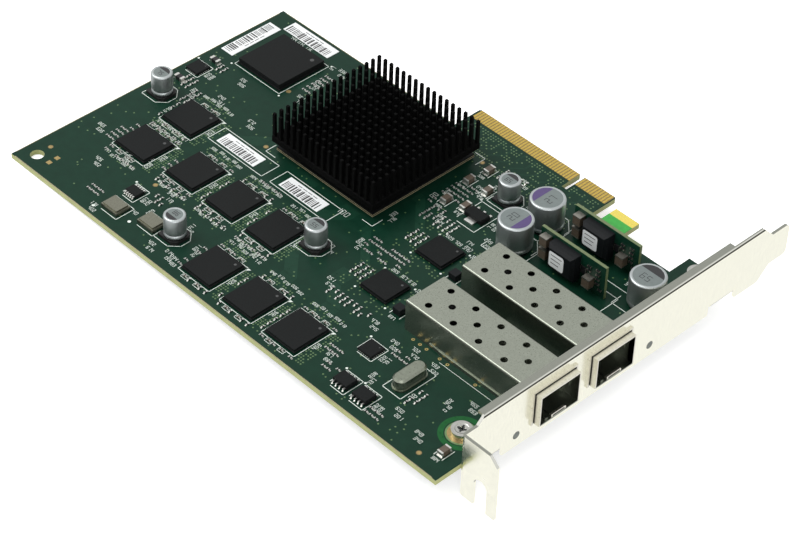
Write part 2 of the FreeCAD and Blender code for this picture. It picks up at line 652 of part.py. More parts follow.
def make_cage(letter, centre):
    """A folded sheet cage: roof, side walls and rear wall, with vents."""
    name = "Cage" + letter.upper()
    body = new_body(name)
    half = "cage_width / 2"
    shell = new_sketch(body, name + "Shell", "YZ_Plane", CAGE_REAR)
    outline(shell, [
        (f"-{half}", "0"),
        (f"-{half} + cage_wall", "0"),
        (f"-{half} + cage_wall", "cage_height - cage_wall"),
        (f"{half} - cage_wall", "cage_height - cage_wall"),
        (f"{half} - cage_wall", "0"),
        (half, "0"),
        (half, "cage_height"),
        (f"-{half}", "cage_height"),
    ])
    folded = pad(body, shell, "cage_length")
    folds = edges_of(folded, lambda point: near(point.z, number("cage_height")))
    folds = [edge for edge in folds if folded.Shape.getElement(edge).BoundBox.XLength > number("vent")]
    dress(body, "Fillet", folded, folds, "2 * cage_wall")
    rear = new_sketch(body, name + "Rear", "YZ_Plane", CAGE_REAR)
    rectangle(rear, f"-{half} + cage_wall", f"{half} - cage_wall",
              "cage_wall * 2", "cage_height - cage_wall")
    pad(body, rear, "cage_wall")
    start = f"({CAGE_REAR} + vent_start)"
    vents = new_sketch(body, name + "Vents", "XY_Plane", "cage_height")
    many_sided(vents, start, "-vent_spread / 2", "vent")
    side_vents = cut(body, vents, "2 * cage_wall")
    pattern(body, side_vents, vents, "vent_pitch * (vents - 1)", "vents", ("vent_spread", "2"))
    middle = new_sketch(body, name + "MiddleVents", "XY_Plane", "cage_height")
    many_sided(middle, f"{start} + vent_pitch / 2", "0", "vent")
    middle_vents = cut(body, middle, "2 * cage_wall")
    pattern(body, middle_vents, middle, "vent_pitch * (vents - 1)", "vents")
    put(body, y=centre)
    return keep(body, f"sfp_cage_{letter}")


def make_cage_base(letter, centre):
    """The cage's floor plate, with side lips and the module latch window."""
    name = "CageBase" + letter.upper()
    body = new_body(name)
    half = "(cage_width / 2 - cage_wall)"
    floor = new_sketch(body, name + "Floor", "XY_Plane")
    rectangle(floor, CAGE_REAR + " + cage_tail_gap", CAGE_FRONT, f"-{half}", half)
    pad(body, floor, "cage_wall")
    window = new_sketch(body, name + "Window", "XY_Plane", "cage_wall")
    rectangle(window, CAGE_FRONT + " - latch_place - latch_length", CAGE_FRONT + " - latch_place",
              "-latch_width / 2", "latch_width / 2")
    cut(body, window, "cage_wall")
    outer = "cage_width / 2"
    for side, low, high in (("Low", f"-{outer} - cage_wall", f"-{outer}"),
                            ("High", outer, f"{outer} + cage_wall")):
        lip = new_sketch(body, name + "Lip" + side, "XY_Plane")
        start = f"{CAGE_REAR} + lip_start"
        rectangle(lip, start, start + " + lip_length", low, high)
        pad(body, lip, "cage_lip")
    put(body, y=centre)
    return keep(body, f"cage_base_{letter}")


def make_socket(letter, centre):
    """The module socket inside the rear of a cage, with its card slot."""
    name = "Socket" + letter.upper()
    body = new_body(name)
    block = new_sketch(body, name + "Block", "XY_Plane")
    start = f"({CAGE_REAR} + cage_wall)"
    rectangle(block, start, f"{start} + socket_length", "-socket_width / 2", "socket_width / 2")
    pad(body, block, "socket_height")
    slot = new_sketch(body, name + "Slot", "YZ_Plane", f"{start} + socket_length")
    rectangle(slot, "-socket_slot_width / 2", "socket_slot_width / 2",
              "socket_height / 2", "socket_height / 2 + socket_slot")
    cut(body, slot, "socket_slot_depth")
    put(body, y=centre)
    return keep(body, f"sfp_socket_{letter}")


def make_gasket(letter, centre):
    """The conductive gasket that fills the bracket opening round a cage."""
    name = "Gasket" + letter.upper()
    body = new_body(name)
    inner = "cage_width / 2"
    outer = "(cage_width / 2 + port_gap)"
    arch = new_sketch(body, name + "Arch", "YZ_Plane", BRACKET_OUT + " - gasket_length")
    outline(arch, [
        (f"-{outer}", "0"),
        (f"-{inner}", "0"),
        (f"-{inner}", "cage_height"),
        (inner, "cage_height"),
        (inner, "0"),
        (outer, "0"),
        (outer, "cage_height + port_gap"),
        (f"-{outer}", "cage_height + port_gap"),
    ])
    pad(body, arch, "gasket_length")
    put(body, y=centre)
    return keep(body, f"port_gasket_{letter}")


def make_lights():
    """Clear light pipes that run from the board's end into the bracket face."""
    body = new_body("PortLights")
    for name, place in (("Near", "-light_near"), ("Far", "-light_far")):
        pipe = new_sketch(body, f"Light{name}", "YZ_Plane", "bracket_end")
        many_sided(pipe, place, LIGHT_Z, "light_pipe")
        pad(body, pipe, "bracket_gap + sheet")
    return keep(body, "port_lights")


# ----------------------------------------------------- controller and sink

def square_pad(body, name, side, low, height):
    sketch = new_sketch(body, name, "XY_Plane", low)
    rectangle(sketch, f"-{side} / 2", f"{side} / 2", f"-{side} / 2", f"{side} / 2")
    return pad(body, sketch, height)


def make_controller():
    """The network controller: balls' stand-off, substrate and metal lid."""
    body = new_body("Controller")
    square_pad(body, "ControllerBalls", "(controller_side - 2 * controller_rim)", "0", "controller_ball")
    square_pad(body, "ControllerBase", "controller_side", "controller_ball", "controller_base")
    square_pad(body, "ControllerLid", "controller_lid_side",
               "controller_ball + controller_base", "controller_lid")
    put(body, "-controller_x", "-controller_y")
    return keep(body, "controller")


CONTROLLER_TOP = "(controller_ball + controller_base + controller_lid)"


def make_thermal_pad():
    body = new_body("ThermalPad")
    square_pad(body, "ThermalPadSheet", "pad_side", CONTROLLER_TOP, "pad_thickness")
    put(body, "-controller_x", "-controller_y")
    return keep(body, "thermal_pad")


def make_heat_sink():
    """A forged pin heat sink: tapered channels leave a field of square pins."""
    body = new_body("HeatSink")
    low = CONTROLLER_TOP + " + pad_thickness"
    floor = f"({low} + sink_base)"
    square_pad(body, "SinkBlock", "sink_side", low, f"sink_top - ({low})")
    pitch = "((sink_side - pin_root) / (sink_pins - 1))"
    start = "(-sink_side / 2 + pin_root)"
    flare = "((pin_root - pin_tip) / 2)"
    for name, plane in (("Across", "XZ_Plane"), ("Along", "YZ_Plane")):
        channel = new_sketch(body, "Channel" + name, plane)
        outline(channel, [
            (start, floor),
            (f"{start} + {pitch} - pin_root", floor),
            (f"{start} + {pitch} - pin_root + {flare}", "sink_top"),
            (f"{start} - {flare}", "sink_top"),
        ])
        groove = cut_through(body, channel)
        pattern(body, groove, channel, f"{pitch} * (sink_pins - 2)", "sink_pins - 1")
    put(body, "-controller_x + sink_shift", "-controller_y - sink_shift")
    return keep(body, "heat_sink")


# --------------------------------------------------------------- packages

def make_ball_grid(label, x, y, wide, long, height):
    """A ball-grid package: solder gap, thin substrate and moulded cap."""
    name = camel(label)
    body = new_body(name)
    layers = [
        ("Balls", "-2 * package_rim", "0", "standoff"),
        ("Base", "0", "standoff", "package_base"),
        ("Cap", "-package_rim", "standoff + package_base",
         f"({height}) - standoff - package_base"),
    ]
    for part, inset, low, thick in layers:
        sketch = new_sketch(body, name + part, "XY_Plane", low)
        half_x = f"({wide} / 2 + {inset})"
        half_y = f"({long} / 2 + {inset})"
        rectangle(sketch, f"-{half_x}", half_x, f"-{half_y}", half_y)
        pad(body, sketch, thick)
    put(body, x, y)
    return keep(body, label)


def memory_places():
    """Centre, width and length of each memory chip, in the order of their names."""
    column = f"({FREE_END} + memory_column)"
    row_one = f"({TOP_EDGE} + memory_row_one)"
    row_two = f"({TOP_EDGE} + memory_row_two)"
    upright = ("memory_wide", "memory_long")
    places = [(f"{column} - memory_pitch * {step}", row_one, *upright) for step in (4, 3, 2)]
    places += [(f"{column} - memory_pitch * {step}", row_two, *upright) for step in (2, 1, 0)]
    places += [(f"{FREE_END} + memory_side_x",
                f"{TOP_EDGE} + memory_side_y + memory_side_pitch * {step}",
                "memory_long", "memory_wide") for step in (0, 1)]
    return places


def make_memory():
    for index, (x, y, wide, long) in enumerate(memory_places(), start=1):
        make_ball_grid(f"memory_chip_{index}", x, y, wide, long, "memory_height")


def make_blocks(label, places, wide, long, height):
    """Small rectangular parts of one size that share a node, as separate solids."""
    body = new_body(camel(label))
    for index, (x, y) in enumerate(places, start=1):
        sketch = new_sketch(body, f"{camel(label)}{index}", "XY_Plane")
        rectangle(sketch, f"{x} - {wide} / 2", f"{x} + {wide} / 2",
                  f"{y} - {long} / 2", f"{y} + {long} / 2")
        pad(body, sketch, height)
    return keep(body, label)


def make_chip_capacitors():
    """Decoupling capacitors in a row on each side of every memory chip."""
    places = []
    for x, y, wide, long in memory_places():
        for side in ("-", "+"):
            for way in ("-", "+"):
                places.append((f"{x} {way} chip_pitch", f"{y} {side} ({long} / 2 + chip_gap)"))
    return make_blocks("chip_capacitors", places, "chip_long", "chip_wide", "chip_wide")


def make_chip_resistors():
    """Series resistors in a small field behind each line chip."""
    places = []
    for letter, centre in CAGES:
        for across in (0, 1, 2):
            for along in (-1, 0, 1):
                places.append((f"{CAGE_REAR} - phy_x - phy_wide / 2 - resistor_pitch * {across + 1}",
                               f"{centre} + resistor_pitch * {along}"))
    return make_blocks("chip_resistors", places, "chip_wide", "chip_long", "chip_wide")


# ------------------------------------------------------------- capacitors

def make_cans(label, places, size):
    """Aluminium cans with a bevelled top, each turned about its own axis."""
    name = camel(label)
    body = new_body(name)
    prefix = "big_" if size == "big" else ""
    radius = f"{prefix}can_body / 2"
    top = f"{prefix}can_height"
    for index, (x, y) in enumerate(places, start=1):
        profile = new_sketch(body, f"{name}Profile{index}", "XZ_Plane", f"-({y})")
        outline(profile, [
            (x, "can_plinth"),
            (f"{x} + {radius}", "can_plinth"),
            (f"{x} + {radius}", f"{top} - can_shoulder"),
            (f"{x} + {radius} - can_shoulder", top),
            (x, top),
        ])
        axis = len(profile.Geometry) - 1
        turned = body.newObject("PartDesign::Revolution", f"{name}Turned{index}")
        turned.Profile = profile
        turned.ReferenceAxis = (profile, [f"Edge{axis + 1}"])
        doc.recompute()
    return keep(body, label)


def make_plinths(label, places, size):
    """The moulded bases under the cans, square with two cut corners."""
    name = camel(label)
    body = new_body(name)
    half = ("big_" if size == "big" else "") + "can_base / 2"
    for index, (x, y) in enumerate(places, start=1):
        sketch = new_sketch(body, f"{name}Outline{index}", "XY_Plane")
        outline(sketch, [
            (f"{x} - {half}", f"{y} - {half}"),
            (f"{x} + {half} - can_snip", f"{y} - {half}"),
            (f"{x} + {half}", f"{y} - {half} + can_snip"),
            (f"{x} + {half}", f"{y} + {half} - can_snip"),
            (f"{x} + {half} - can_snip", f"{y} + {half}"),
            (f"{x} - {half}", f"{y} + {half}"),
        ])
        pad(body, sketch, "can_plinth")
    return keep(body, label)


# ---------------------------------------------------------- power supplies

def make_supply(index, place):
    """An upright supply board with its choke, ceramic capacitors and pins."""
    face = f"({place} - supply_thickness / 2)"
    board = new_body(f"SupplyBoard{index}")
    sketch = new_sketch(board, f"SupplyBoard{index}Face", "XZ_Plane", f"-{face}")
    rectangle(sketch, "supply_start", "supply_start + supply_length", "0", "supply_height")
    pad(board, sketch, "supply_thickness", reverse=True)
    keep(board, f"supply_board_{index}")

    choke = new_body(f"SupplyChoke{index}")
    start = "(supply_start + choke_start)"
    sketch = new_sketch(choke, f"SupplyChoke{index}Face", "XZ_Plane", f"-{face}")
    rectangle(sketch, start, f"{start} + choke_length", "choke_low", "choke_low + choke_height")
    block = pad(choke, sketch, "choke_depth")
    outer = number(face) - number("choke_depth")
    dress(choke, "Chamfer", block, edges_of(block, lambda point: near(point.y, outer)),
          "choke_corner")
    keep(choke, f"supply_choke_{index}")

    stack = new_body(f"SupplyCapacitors{index}")
    centres = [
        ("supply_start + choke_start / 2", "ceramic_low"),
        ("supply_start + choke_start / 2", "ceramic_low + ceramic_step"),
        ("supply_start + ceramic_far", "ceramic_low"),
    ]
    for count, (x, z) in enumerate(centres, start=1):
        sketch = new_sketch(stack, f"SupplyCapacitor{index}_{count}", "XZ_Plane", f"-{face}")
        rectangle(sketch, f"{x} - ceramic_side / 2", f"{x} + ceramic_side / 2",
                  f"{z} - ceramic_long / 2", f"{z} + ceramic_long / 2")
        pad(stack, sketch, "ceramic_depth")
    keep(stack, f"supply_capacitors_{index}")

    pins = new_body(f"SupplyPins{index}")
    back = f"({place} + supply_thickness / 2)"
    first = "(supply_start + supply_length / 2 - pin_pitch * (supply_pins - 1) / 2 - pin_side / 2)"
    sketch = new_sketch(pins, f"SupplyPin{index}", "YZ_Plane", first)
    outline(sketch, [
        (back, "0"),
        (f"{back} + pin_foot", "0"),
        (f"{back} + pin_foot", "pin_side"),
        (f"{back} + pin_side", "pin_side"),
        (f"{back} + pin_side", "pin_height"),
        (back, "pin_height"),
    ])
    single = pad(pins, sketch, "pin_side")
    guide = new_sketch(pins, f"SupplyPinRow{index}", "XY_Plane")
    pattern(pins, single, guide, "pin_pitch * (supply_pins - 1)", "supply_pins")
    keep(pins, f"supply_pins_{index}")


# ------------------------------------------------------------ small parts

def make_quad(label, x, y):
    """A small leadless chip with a bevelled upper edge."""
    name = camel(label)
    body = new_body(name)
    block = square_pad(body, name + "Body", "quad_side", "0", "quad_height")
    top = edges_of(block, lambda point: near(point.z, number("quad_height")))
    dress(body, "Chamfer", block, top, "quad_bevel")
    put(body, x, y)
    return keep(body, label)


def make_leaded(label, x, y, kind):
    """A moulded package with gull-wing leads along two sides."""
    wide, long, height, pitch, leads = [
        f"{kind}_{size}" for size in ("wide", "long", "height", "pitch", "leads")]
    name = camel(label)
    body = new_body(name)
    sketch = new_sketch(body, name + "Body", "XY_Plane", "lead_gap")
    rectangle(sketch, f"-{wide} / 2", f"{wide} / 2", f"-{long} / 2", f"{long} / 2")
    block = pad(body, sketch, f"{height} - lead_gap")
    top = edges_of(block, lambda point: near(point.z, number(height)))
    dress(body, "Chamfer", block, top, "lead_gap")
    start = f"-({pitch} * ({leads} - 1) / 2) - lead_width / 2"
    guide = new_sketch(body, name + "Row", "XY_Plane")
    edge = f"({long} / 2)"
    for side, way in (("Left", "-"), ("Right", "")):
        lead = new_sketch(body, name + "Lead" + side, "YZ_Plane", start)
        outline(lead, [
            (f"{way}{edge}", "lead_rise"),
            (f"{way}({edge} + lead_reach - lead_foot)", "lead_rise"),
            (f"{way}({edge} + lead_reach - lead_foot + lead_sheet)", "lead_sheet"),
            (f"{way}({edge} + lead_reach)", "lead_sheet"),
            (f"{way}({edge} + lead_reach)", "0"),
            (f"{way}({edge} + lead_reach - lead_foot)", "0"),
            (f"{way}({edge} + lead_reach - lead_foot - lead_sheet)", "lead_rise - lead_sheet"),
            (f"{way}{edge}", "lead_rise - lead_sheet"),
        ])
        first = pad(body, lead, "lead_width")
        pattern(body, first, guide, f"{pitch} * ({leads} - 1)", leads)
    put(body, x, y)
    return keep(body, label)


def make_oscillator(label, x, y):
    """A ceramic oscillator with a smaller seam-welded metal lid."""
    name = camel(label)
    body = new_body(name)
    for part, inset, low, thick in (("Base", "0", "0", "can_lid_seat"),
                                    ("Lid", "can_lid_rim", "can_lid_seat",
                                     "can_lid_height - can_lid_seat")):
        sketch = new_sketch(body, name + part, "XY_Plane", low)
        half_x = f"(can_lid_wide / 2 - {inset})"
        half_y = f"(can_lid_long / 2 - {inset})"
        rectangle(sketch, f"-{half_x}", half_x, f"-{half_y}", half_y)
        pad(body, sketch, thick)
    put(body, x, y)
    return keep(body, label)


def slot_outline(sketch, wide, long):
    """A rounded slot shape, centred, long in the sketch's Y direction."""
    radius = number(wide) / 2
    straight = number(long) / 2 - radius
    up = FreeCAD.Vector(0, straight, 0)
    side = FreeCAD.Vector(radius, 0, 0)
    reach = FreeCAD.Vector(0, radius, 0)
    first = sketch.GeometryCount
    sketch.addGeometry([
        Part.LineSegment(side - up, side + up),
        Part.Arc(side + up, up + reach, up - side),
        Part.LineSegment(up - side, -side - up),
        Part.Arc(-side - up, -up - reach, side - up),
    ], False)
    for index in range(4):
        sketch.addConstraint(
            Sketcher.Constraint("Tangent", first + index, 2, first + (index + 1) % 4, 1))
    sketch.addConstraint(Sketcher.Constraint("Vertical", first))
    sketch.addConstraint(Sketcher.Constraint("Symmetric", first + 1, 3, first + 3, 3, -1, 1))
    spread = sketch.addConstraint(
        Sketcher.Constraint("DistanceY", first + 3, 3, first + 1, 3, 2 * straight))
    sketch.setExpression(f"Constraints[{spread}]", ref(f"{long} - {wide}"))
    round_size = sketch.addConstraint(Sketcher.Constraint("Radius", first + 1, radius))
    sketch.setExpression(f"Constraints[{round_size}]", ref(f"{wide} / 2"))


def make_crystal(x, y):
    """A drawn crystal can with its welded flange, long across the board."""
    body = new_body("Crystal")
    flange = new_sketch(body, "CrystalFlange", "XY_Plane")
    slot_outline(flange, "crystal_wide", "crystal_long")
    pad(body, flange, "crystal_foot")
    can = new_sketch(body, "CrystalCan", "XY_Plane", "crystal_foot")
    slot_outline(can, "(crystal_wide - crystal_foot)", "(crystal_long - crystal_foot)")
    drawn = pad(body, can, "crystal_height - crystal_foot")
    top = [f"Edge{index}" for index, edge in enumerate(drawn.Shape.Edges, start=1)
           if near(edge.BoundBox.ZMin, number("crystal_height"))]
    dress(body, "Chamfer", drawn, top, "crystal_foot")
    put(body, x, y)
    return keep(body, "crystal")


def make_regulator(x, y):
    """A power package: moulded body, metal tab on one side, two leads on the other."""
    body = new_body("Regulator")
    back = "regulator_long / 2"
    layers = [
        ("Body", "-regulator_wide / 2", "regulator_wide / 2", f"-{back}", back, "regulator_height"),
        ("Tab", "-regulator_foot_place - regulator_foot", "regulator_foot_place + regulator_foot",
         f"-{back} - regulator_tab", f"-{back}", "lead_foot"),
        ("LeadOne", "-regulator_foot_place - regulator_foot", "-regulator_foot_place",
         back, f"{back} + regulator_lead", "lead_foot"),
        ("LeadTwo", "regulator_foot_place", "regulator_foot_place + regulator_foot",
         back, f"{back} + regulator_lead", "lead_foot"),
    ]
    for name, x_low, x_high, y_low, y_high, height in layers:
        sketch = new_sketch(body, "Regulator" + name, "XY_Plane")
        rectangle(sketch, x_low, x_high, y_low, y_high)
        pad(body, sketch, height)
    put(body, x, y)
    return keep(body, "regulator")


def make_labels(places):
    """Blank paper labels stuck to the board."""
    body = new_body("Labels")
    for index, (x, y, wide, long) in enumerate(places, start=1):
        sketch = new_sketch(body, f"Label{index}", "XY_Plane")
        rectangle(sketch, f"{x} - {wide} / 2", f"{x} + {wide} / 2",
                  f"{y} - {long} / 2", f"{y} + {long} / 2")
        pad(body, sketch, "label_paper")
    return keep(body, "labels")


# ------------------------------------------------------------------ build

def check_and_write():
    """Stop on any failed object or bad shape, then write one file a node."""
    doc.recompute()
    for thing in doc.Objects:
        if "Invalid" in thing.State or "Error" in thing.State:
            raise RuntimeError(f"{thing.Name} failed: {thing.State}")
    os.makedirs("parts", exist_ok=True)
    for node in NODES:
        if node.Shape.isNull() or not node.Shape.isValid():
            raise RuntimeError(f"{node.Label} has a bad shape")
        node.Shape.exportStep(f"parts/{node.Label}.step")
    print(len(NODES), "nodes written")


CAGES = [("a", "-cage_place - cage_pitch"), ("b", "-cage_place")]

make_board()
make_contacts()
make_bracket()
make_screws()
for letter, centre in CAGES:
    make_cage(letter, centre)
    make_cage_base(letter, centre)
    make_socket(letter, centre)
make_lights()
make_controller()
make_thermal_pad()
make_heat_sink()
make_memory()
make_ball_grid("bridge_chip", f"{FREE_END} + bridge_x", "-bridge_y",
               "bridge_side", "bridge_side", "bridge_height")
for letter, centre in CAGES:
    make_ball_grid(f"phy_chip_{letter}", f"{CAGE_REAR} - phy_x", centre,
                   "phy_wide", "phy_long", "phy_height")
make_quad("clock_chip", *at("clock"))
make_quad("corner_chip", *at("corner"))

SMALL_CANS = [at(spot) for spot in ("corner_can", "top_can", "middle_can", "connector_can")]
BIG_CANS = [at(spot) for spot in ("outer_polymer", "inner_polymer", "bracket_can")]
make_cans("small_capacitors", SMALL_CANS, "small")
make_cans("large_capacitors", BIG_CANS, "big")
make_plinths("small_capacitor_bases", SMALL_CANS, "small")
make_plinths("large_capacitor_bases", BIG_CANS, "big")
for index in (1, 2):
    make_supply(index, f"(-supply_place - supply_pitch * {2 - index})")
for letter, centre in CAGES:
    make_gasket(letter, centre)
for index, spot in ((1, "first_eeprom"), (2, "second_eeprom")):
    make_leaded(f"eeprom_chip_{index}", *at(spot), "eeprom")
make_leaded("driver_chip", *at("driver"), "driver")
make_oscillator("oscillator_1", *at("first_oscillator"))
make_oscillator("oscillator_2", *at("second_oscillator"))
make_crystal(*at("crystal"))
make_regulator(*at("regulator"))
make_labels([
    (*at("upright_label"), "label_width", "label_long"),
    (*at("lower_label"), "label_long", "label_width"),
    (*at("first_label"), "label_short", "label_width"),
    (*at("second_label"), "label_short", "label_width"),
])
make_chip_capacitors()
make_chip_resistors()
make_blocks("filter_capacitors",
            [at("filter_" + count) for count in ("one", "two", "three", "four", "five", "six")],
            "mlcc_wide", "mlcc_long", "mlcc_height")
make_blocks("line_chokes",
            [(f"{CAGE_REAR} - coil_x", f"{centre} - coil_shift") for letter, centre in CAGES],
            "coil_side", "coil_side", "coil_height")
check_and_write()
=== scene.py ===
import json
import math
import random

import bmesh
import bpy
from mathutils import Matrix, Vector


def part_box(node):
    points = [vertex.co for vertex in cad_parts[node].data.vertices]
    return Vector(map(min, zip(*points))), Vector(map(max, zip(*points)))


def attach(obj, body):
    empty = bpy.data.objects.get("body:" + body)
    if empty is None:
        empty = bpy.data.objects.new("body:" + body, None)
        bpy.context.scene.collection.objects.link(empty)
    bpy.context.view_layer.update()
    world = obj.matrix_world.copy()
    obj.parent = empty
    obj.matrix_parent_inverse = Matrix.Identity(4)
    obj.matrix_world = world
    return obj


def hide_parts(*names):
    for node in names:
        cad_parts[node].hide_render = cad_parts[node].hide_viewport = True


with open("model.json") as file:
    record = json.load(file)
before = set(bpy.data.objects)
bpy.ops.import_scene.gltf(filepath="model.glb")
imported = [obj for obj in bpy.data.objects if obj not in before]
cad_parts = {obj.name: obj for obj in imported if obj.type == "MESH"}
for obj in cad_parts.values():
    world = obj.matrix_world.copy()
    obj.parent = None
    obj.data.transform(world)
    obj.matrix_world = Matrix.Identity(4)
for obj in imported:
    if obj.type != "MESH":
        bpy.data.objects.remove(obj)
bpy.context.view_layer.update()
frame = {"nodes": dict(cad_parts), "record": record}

MM = 0.001
BODY = "root"
SQUARE = ((-1, -1), (1, -1), (1, 1), (-1, 1))
PRINT_UP = 0.02
SILK_LINE = 0.2
FINE_LINE = 0.13


# ---------- materials

NOISE_DETAIL = 4.0
RAMP_ENDS = (0.32, 0.68)
ROUGHNESS_SPREAD = 0.08
RELIEF_DEPTH = 0.02 * MM


def fill(tree, node, inputs):
    """Link each named input of a node to a socket, or set it to a plain value."""
    for name, value in inputs.items():
        if isinstance(value, bpy.types.NodeSocket):
            tree.links.new(value, node.inputs[name])
        else:
            node.inputs[name].default_value = value


def add_node(tree, kind, inputs, **settings):
    made = tree.nodes.new("ShaderNode" + kind)
    for name, value in settings.items():
        setattr(made, name, value)
    fill(tree, made, inputs)
    return made


def look(name, colour, roughness, metallic=0.0, variation=0.12, grain=1500, bump=0.0,
         stretch=(1, 1, 1), specular=0.5, transmission=0.0):
    """A principled surface with uneven colour, roughness and relief at a given grain per metre."""
    made = bpy.data.materials.new(name)
    made.use_nodes = True
    tree = made.node_tree
    shader = tree.nodes["Principled BSDF"]
    place = add_node(tree, "TexCoord", {})
    mapping = add_node(tree, "Mapping", {"Vector": place.outputs["Object"], "Scale": stretch})
    noise = add_node(tree, "TexNoise", {"Vector": mapping.outputs["Vector"], "Scale": grain,
                                        "Detail": NOISE_DETAIL}).outputs["Fac"]
    ramp = add_node(tree, "ValToRGB", {"Fac": noise})
    for element, at, change in zip(ramp.color_ramp.elements, RAMP_ENDS, (-variation, variation)):
        element.position = at
        element.color = (*[min(1.0, channel * (1 + change)) for channel in colour], 1)
    rough = add_node(tree, "MapRange", {"Value": noise, "To Min": max(0.02, roughness - ROUGHNESS_SPREAD),
                                        "To Max": min(1.0, roughness + ROUGHNESS_SPREAD)})
    fill(tree, shader, {"Metallic": metallic, "Specular IOR Level": specular,
                        "Transmission Weight": transmission, "Base Color": ramp.outputs["Color"],
                        "Roughness": rough.outputs["Result"]})
    if bump:
        relief = add_node(tree, "Bump", {"Height": noise, "Strength": bump, "Distance": RELIEF_DEPTH})
        fill(tree, shader, {"Normal": relief.outputs["Normal"]})
    return made


def colour_by_slope(material, stops):
    """Colour a surface by how far it faces up or down, from 0 for upright to 1 for level."""
    tree = material.node_tree
    nodes = tree.nodes
    split = add_node(tree, "SeparateXYZ", {"Vector": nodes["Texture Coordinate"].outputs["Normal"]})
    level = add_node(tree, "Math", {0: split.outputs["Z"]}, operation="ABSOLUTE")
    grain = nodes["Color Ramp"].outputs["Color"]
    chosen = add_node(tree, "ValToRGB", {"Fac": level.outputs["Value"]})
    ramp = chosen.color_ramp
    while len(ramp.elements) < len(stops):
        ramp.elements.new(0.5)
    for element, (at, colour) in zip(ramp.elements, stops):
        element.position = at
        element.color = (*colour, 1)
    blend = add_node(tree, "Mix", {"Factor": 1.0, "A": chosen.outputs["Color"], "B": grain},
                     data_type="RGBA", blend_type="MULTIPLY")
    fill(tree, nodes["Principled BSDF"], {"Base Color": blend.outputs["Result"]})


MASK = (0.004, 0.029, 0.016)
MATERIALS = {
    # the slots of the record
    "solder_mask": look("mask_green", MASK, 0.33, 0.0, 0.15, 350, specular=0.14),
    "gold_plating": look("gold", (0.56, 0.4, 0.095), 0.28, 1.0, 0.08),
    "plated_steel": look("nickel", (0.96, 0.96, 0.96), 0.24, 1.0, 0.03, 500, 0.05, (1, 8, 1)),
    "screw_steel": look("screw_nickel", (0.45, 0.45, 0.42), 0.22, 1.0, 0.05, 800),
    "clear_plastic": look("light_pipe", (0.22, 0.25, 0.22), 0.25, grain=700, transmission=0.4),
    "package_black": look("epoxy", (0.006, 0.007, 0.007), 0.6, 0.0, 0.35, 3500, 0.5, specular=0.12),
    "pad_grey": look("pad", (0.42, 0.44, 0.46), 0.8, grain=2500, bump=0.4),
    "sink_aluminium": look("anodised", (0.0015, 0.0015, 0.0015), 0.7, 0.0, 0.3, 2500, 0.3, specular=0.05),
    "label_paper": look("label", (0.8, 0.82, 0.82), 0.6, 0.0, 0.03, 3000, 0.2),
    "can_metal": look("lid_metal", (0.19, 0.19, 0.15), 0.36, 1.0, 0.12, 2600, 0.15),
    "base_plastic": look("plinth", (0.006, 0.006, 0.006), 0.45, grain=2500, bump=0.3, specular=0.3),
    "can_aluminium": look("can", (0.4, 0.43, 0.43), 0.42, 1.0, 0.05, 900, 0.1, (1, 1, 8)),
    "ferrite": look("ferrite", (0.006, 0.007, 0.008), 0.45, 0.0, 0.3, 3000, 0.5, specular=0.14),
    "ceramic_brown": look("mlcc", (0.09, 0.068, 0.048), 0.32, grain=3000, bump=0.2),
    "resistor_black": look("resistor", (0.012, 0.012, 0.013), 0.35, grain=3000, specular=0.3),
    "cage_metal": look("tin", (0.29, 0.31, 0.26), 0.3, 1.0, 0.12, 3200, 0.2),
    "socket_plastic": look("socket", (0.008, 0.008, 0.009), 0.5, grain=2500, bump=0.3),
    "gasket_rubber": look("gasket", (0.02, 0.02, 0.02), 0.7, grain=2500, bump=0.5),
    "tinned_copper": look("tinned", (0.62, 0.62, 0.59), 0.3, 1.0, 0.06),
    # looks for the scene alone
    "board_laminate": look("board_mask", (1, 1, 1), 0.33, 0.0, 0.15, 350, specular=0.14),
    "collar_metal": look("collar", (0.74, 0.72, 0.63), 0.3, 1.0, 0.08, bump=0.1),
    "crystal_tin": look("crystal_case", (0.24, 0.26, 0.21), 0.3, 1.0, 0.08, bump=0.1),
    "dull_gold": look("pad_gold", (0.36, 0.27, 0.12), 0.4, 1.0, 0.15),
    "dimple": look("moulded_mark", (0.05, 0.052, 0.052), 0.6, 0.0, 0.1, 2500),
    "green_edge": look("laminate_edge", (0.13, 0.165, 0.075), 0.45),
    "silk_ink": look("silk", (0.74, 0.8, 0.74), 0.6, 0.0, 0.08, 2500),
    "via_ring": look("via_mask", (0.11, 0.2, 0.075), 0.3, 0.0, 0.2),
    # dark discs of painted shade in via holes and in the screws' cross recesses
    "hole_shade": look("via_shadow", (0.004, 0.008, 0.006), 0.5, 0.0, 0.2),
    "track_green": look("track", (0.01, 0.046, 0.026), 0.3, 0.0, 0.1, 700, specular=0.15),
    "bright_laminate": look("green_laminate", (0.035, 0.36, 0.045), 0.35, grain=700),
    "contact_ground": look("bare_core", (0.2, 0.14, 0.05), 0.45, 0.0, 0.1, 2500),
    "mask_on_copper": look("bright_mask", (0.008, 0.09, 0.022), 0.3, grain=700, specular=0.15),
    "bare_laminate": look("laminate", (0.76, 0.62, 0.11), 0.45, 0.0, 0.1, 2500),
    "dull_tin": look("capacitor_end", (0.27, 0.26, 0.23), 0.42, 1.0, 0.1),
    "substrate_edge": look("substrate", (0.34, 0.3, 0.18), 0.45, 0.0, 0.15, 2500),
    "rim_laminate": look("board_rim", (0.34, 0.3, 0.18), 0.45, 0.0, 0.15, 2500),
    "can_top": look("can_lid", (0.17, 0.2, 0.195), 0.4, 0.3, 0.05, 1200, 0.1),
    "can_black": look("can_ink", (0.01, 0.01, 0.011), 0.4, 0.0, 0.2),
    "can_purple": look("can_violet", (0.07, 0.043, 0.145), 0.4, 0.0, 0.06),
    "label_ink": look("print_ink", (0.02, 0.02, 0.02), 0.5, 0.0, 0.2),
}
colour_by_slope(MATERIALS["board_laminate"], [(0.2, (0.42, 0.44, 0.2)), (0.8, MASK)])
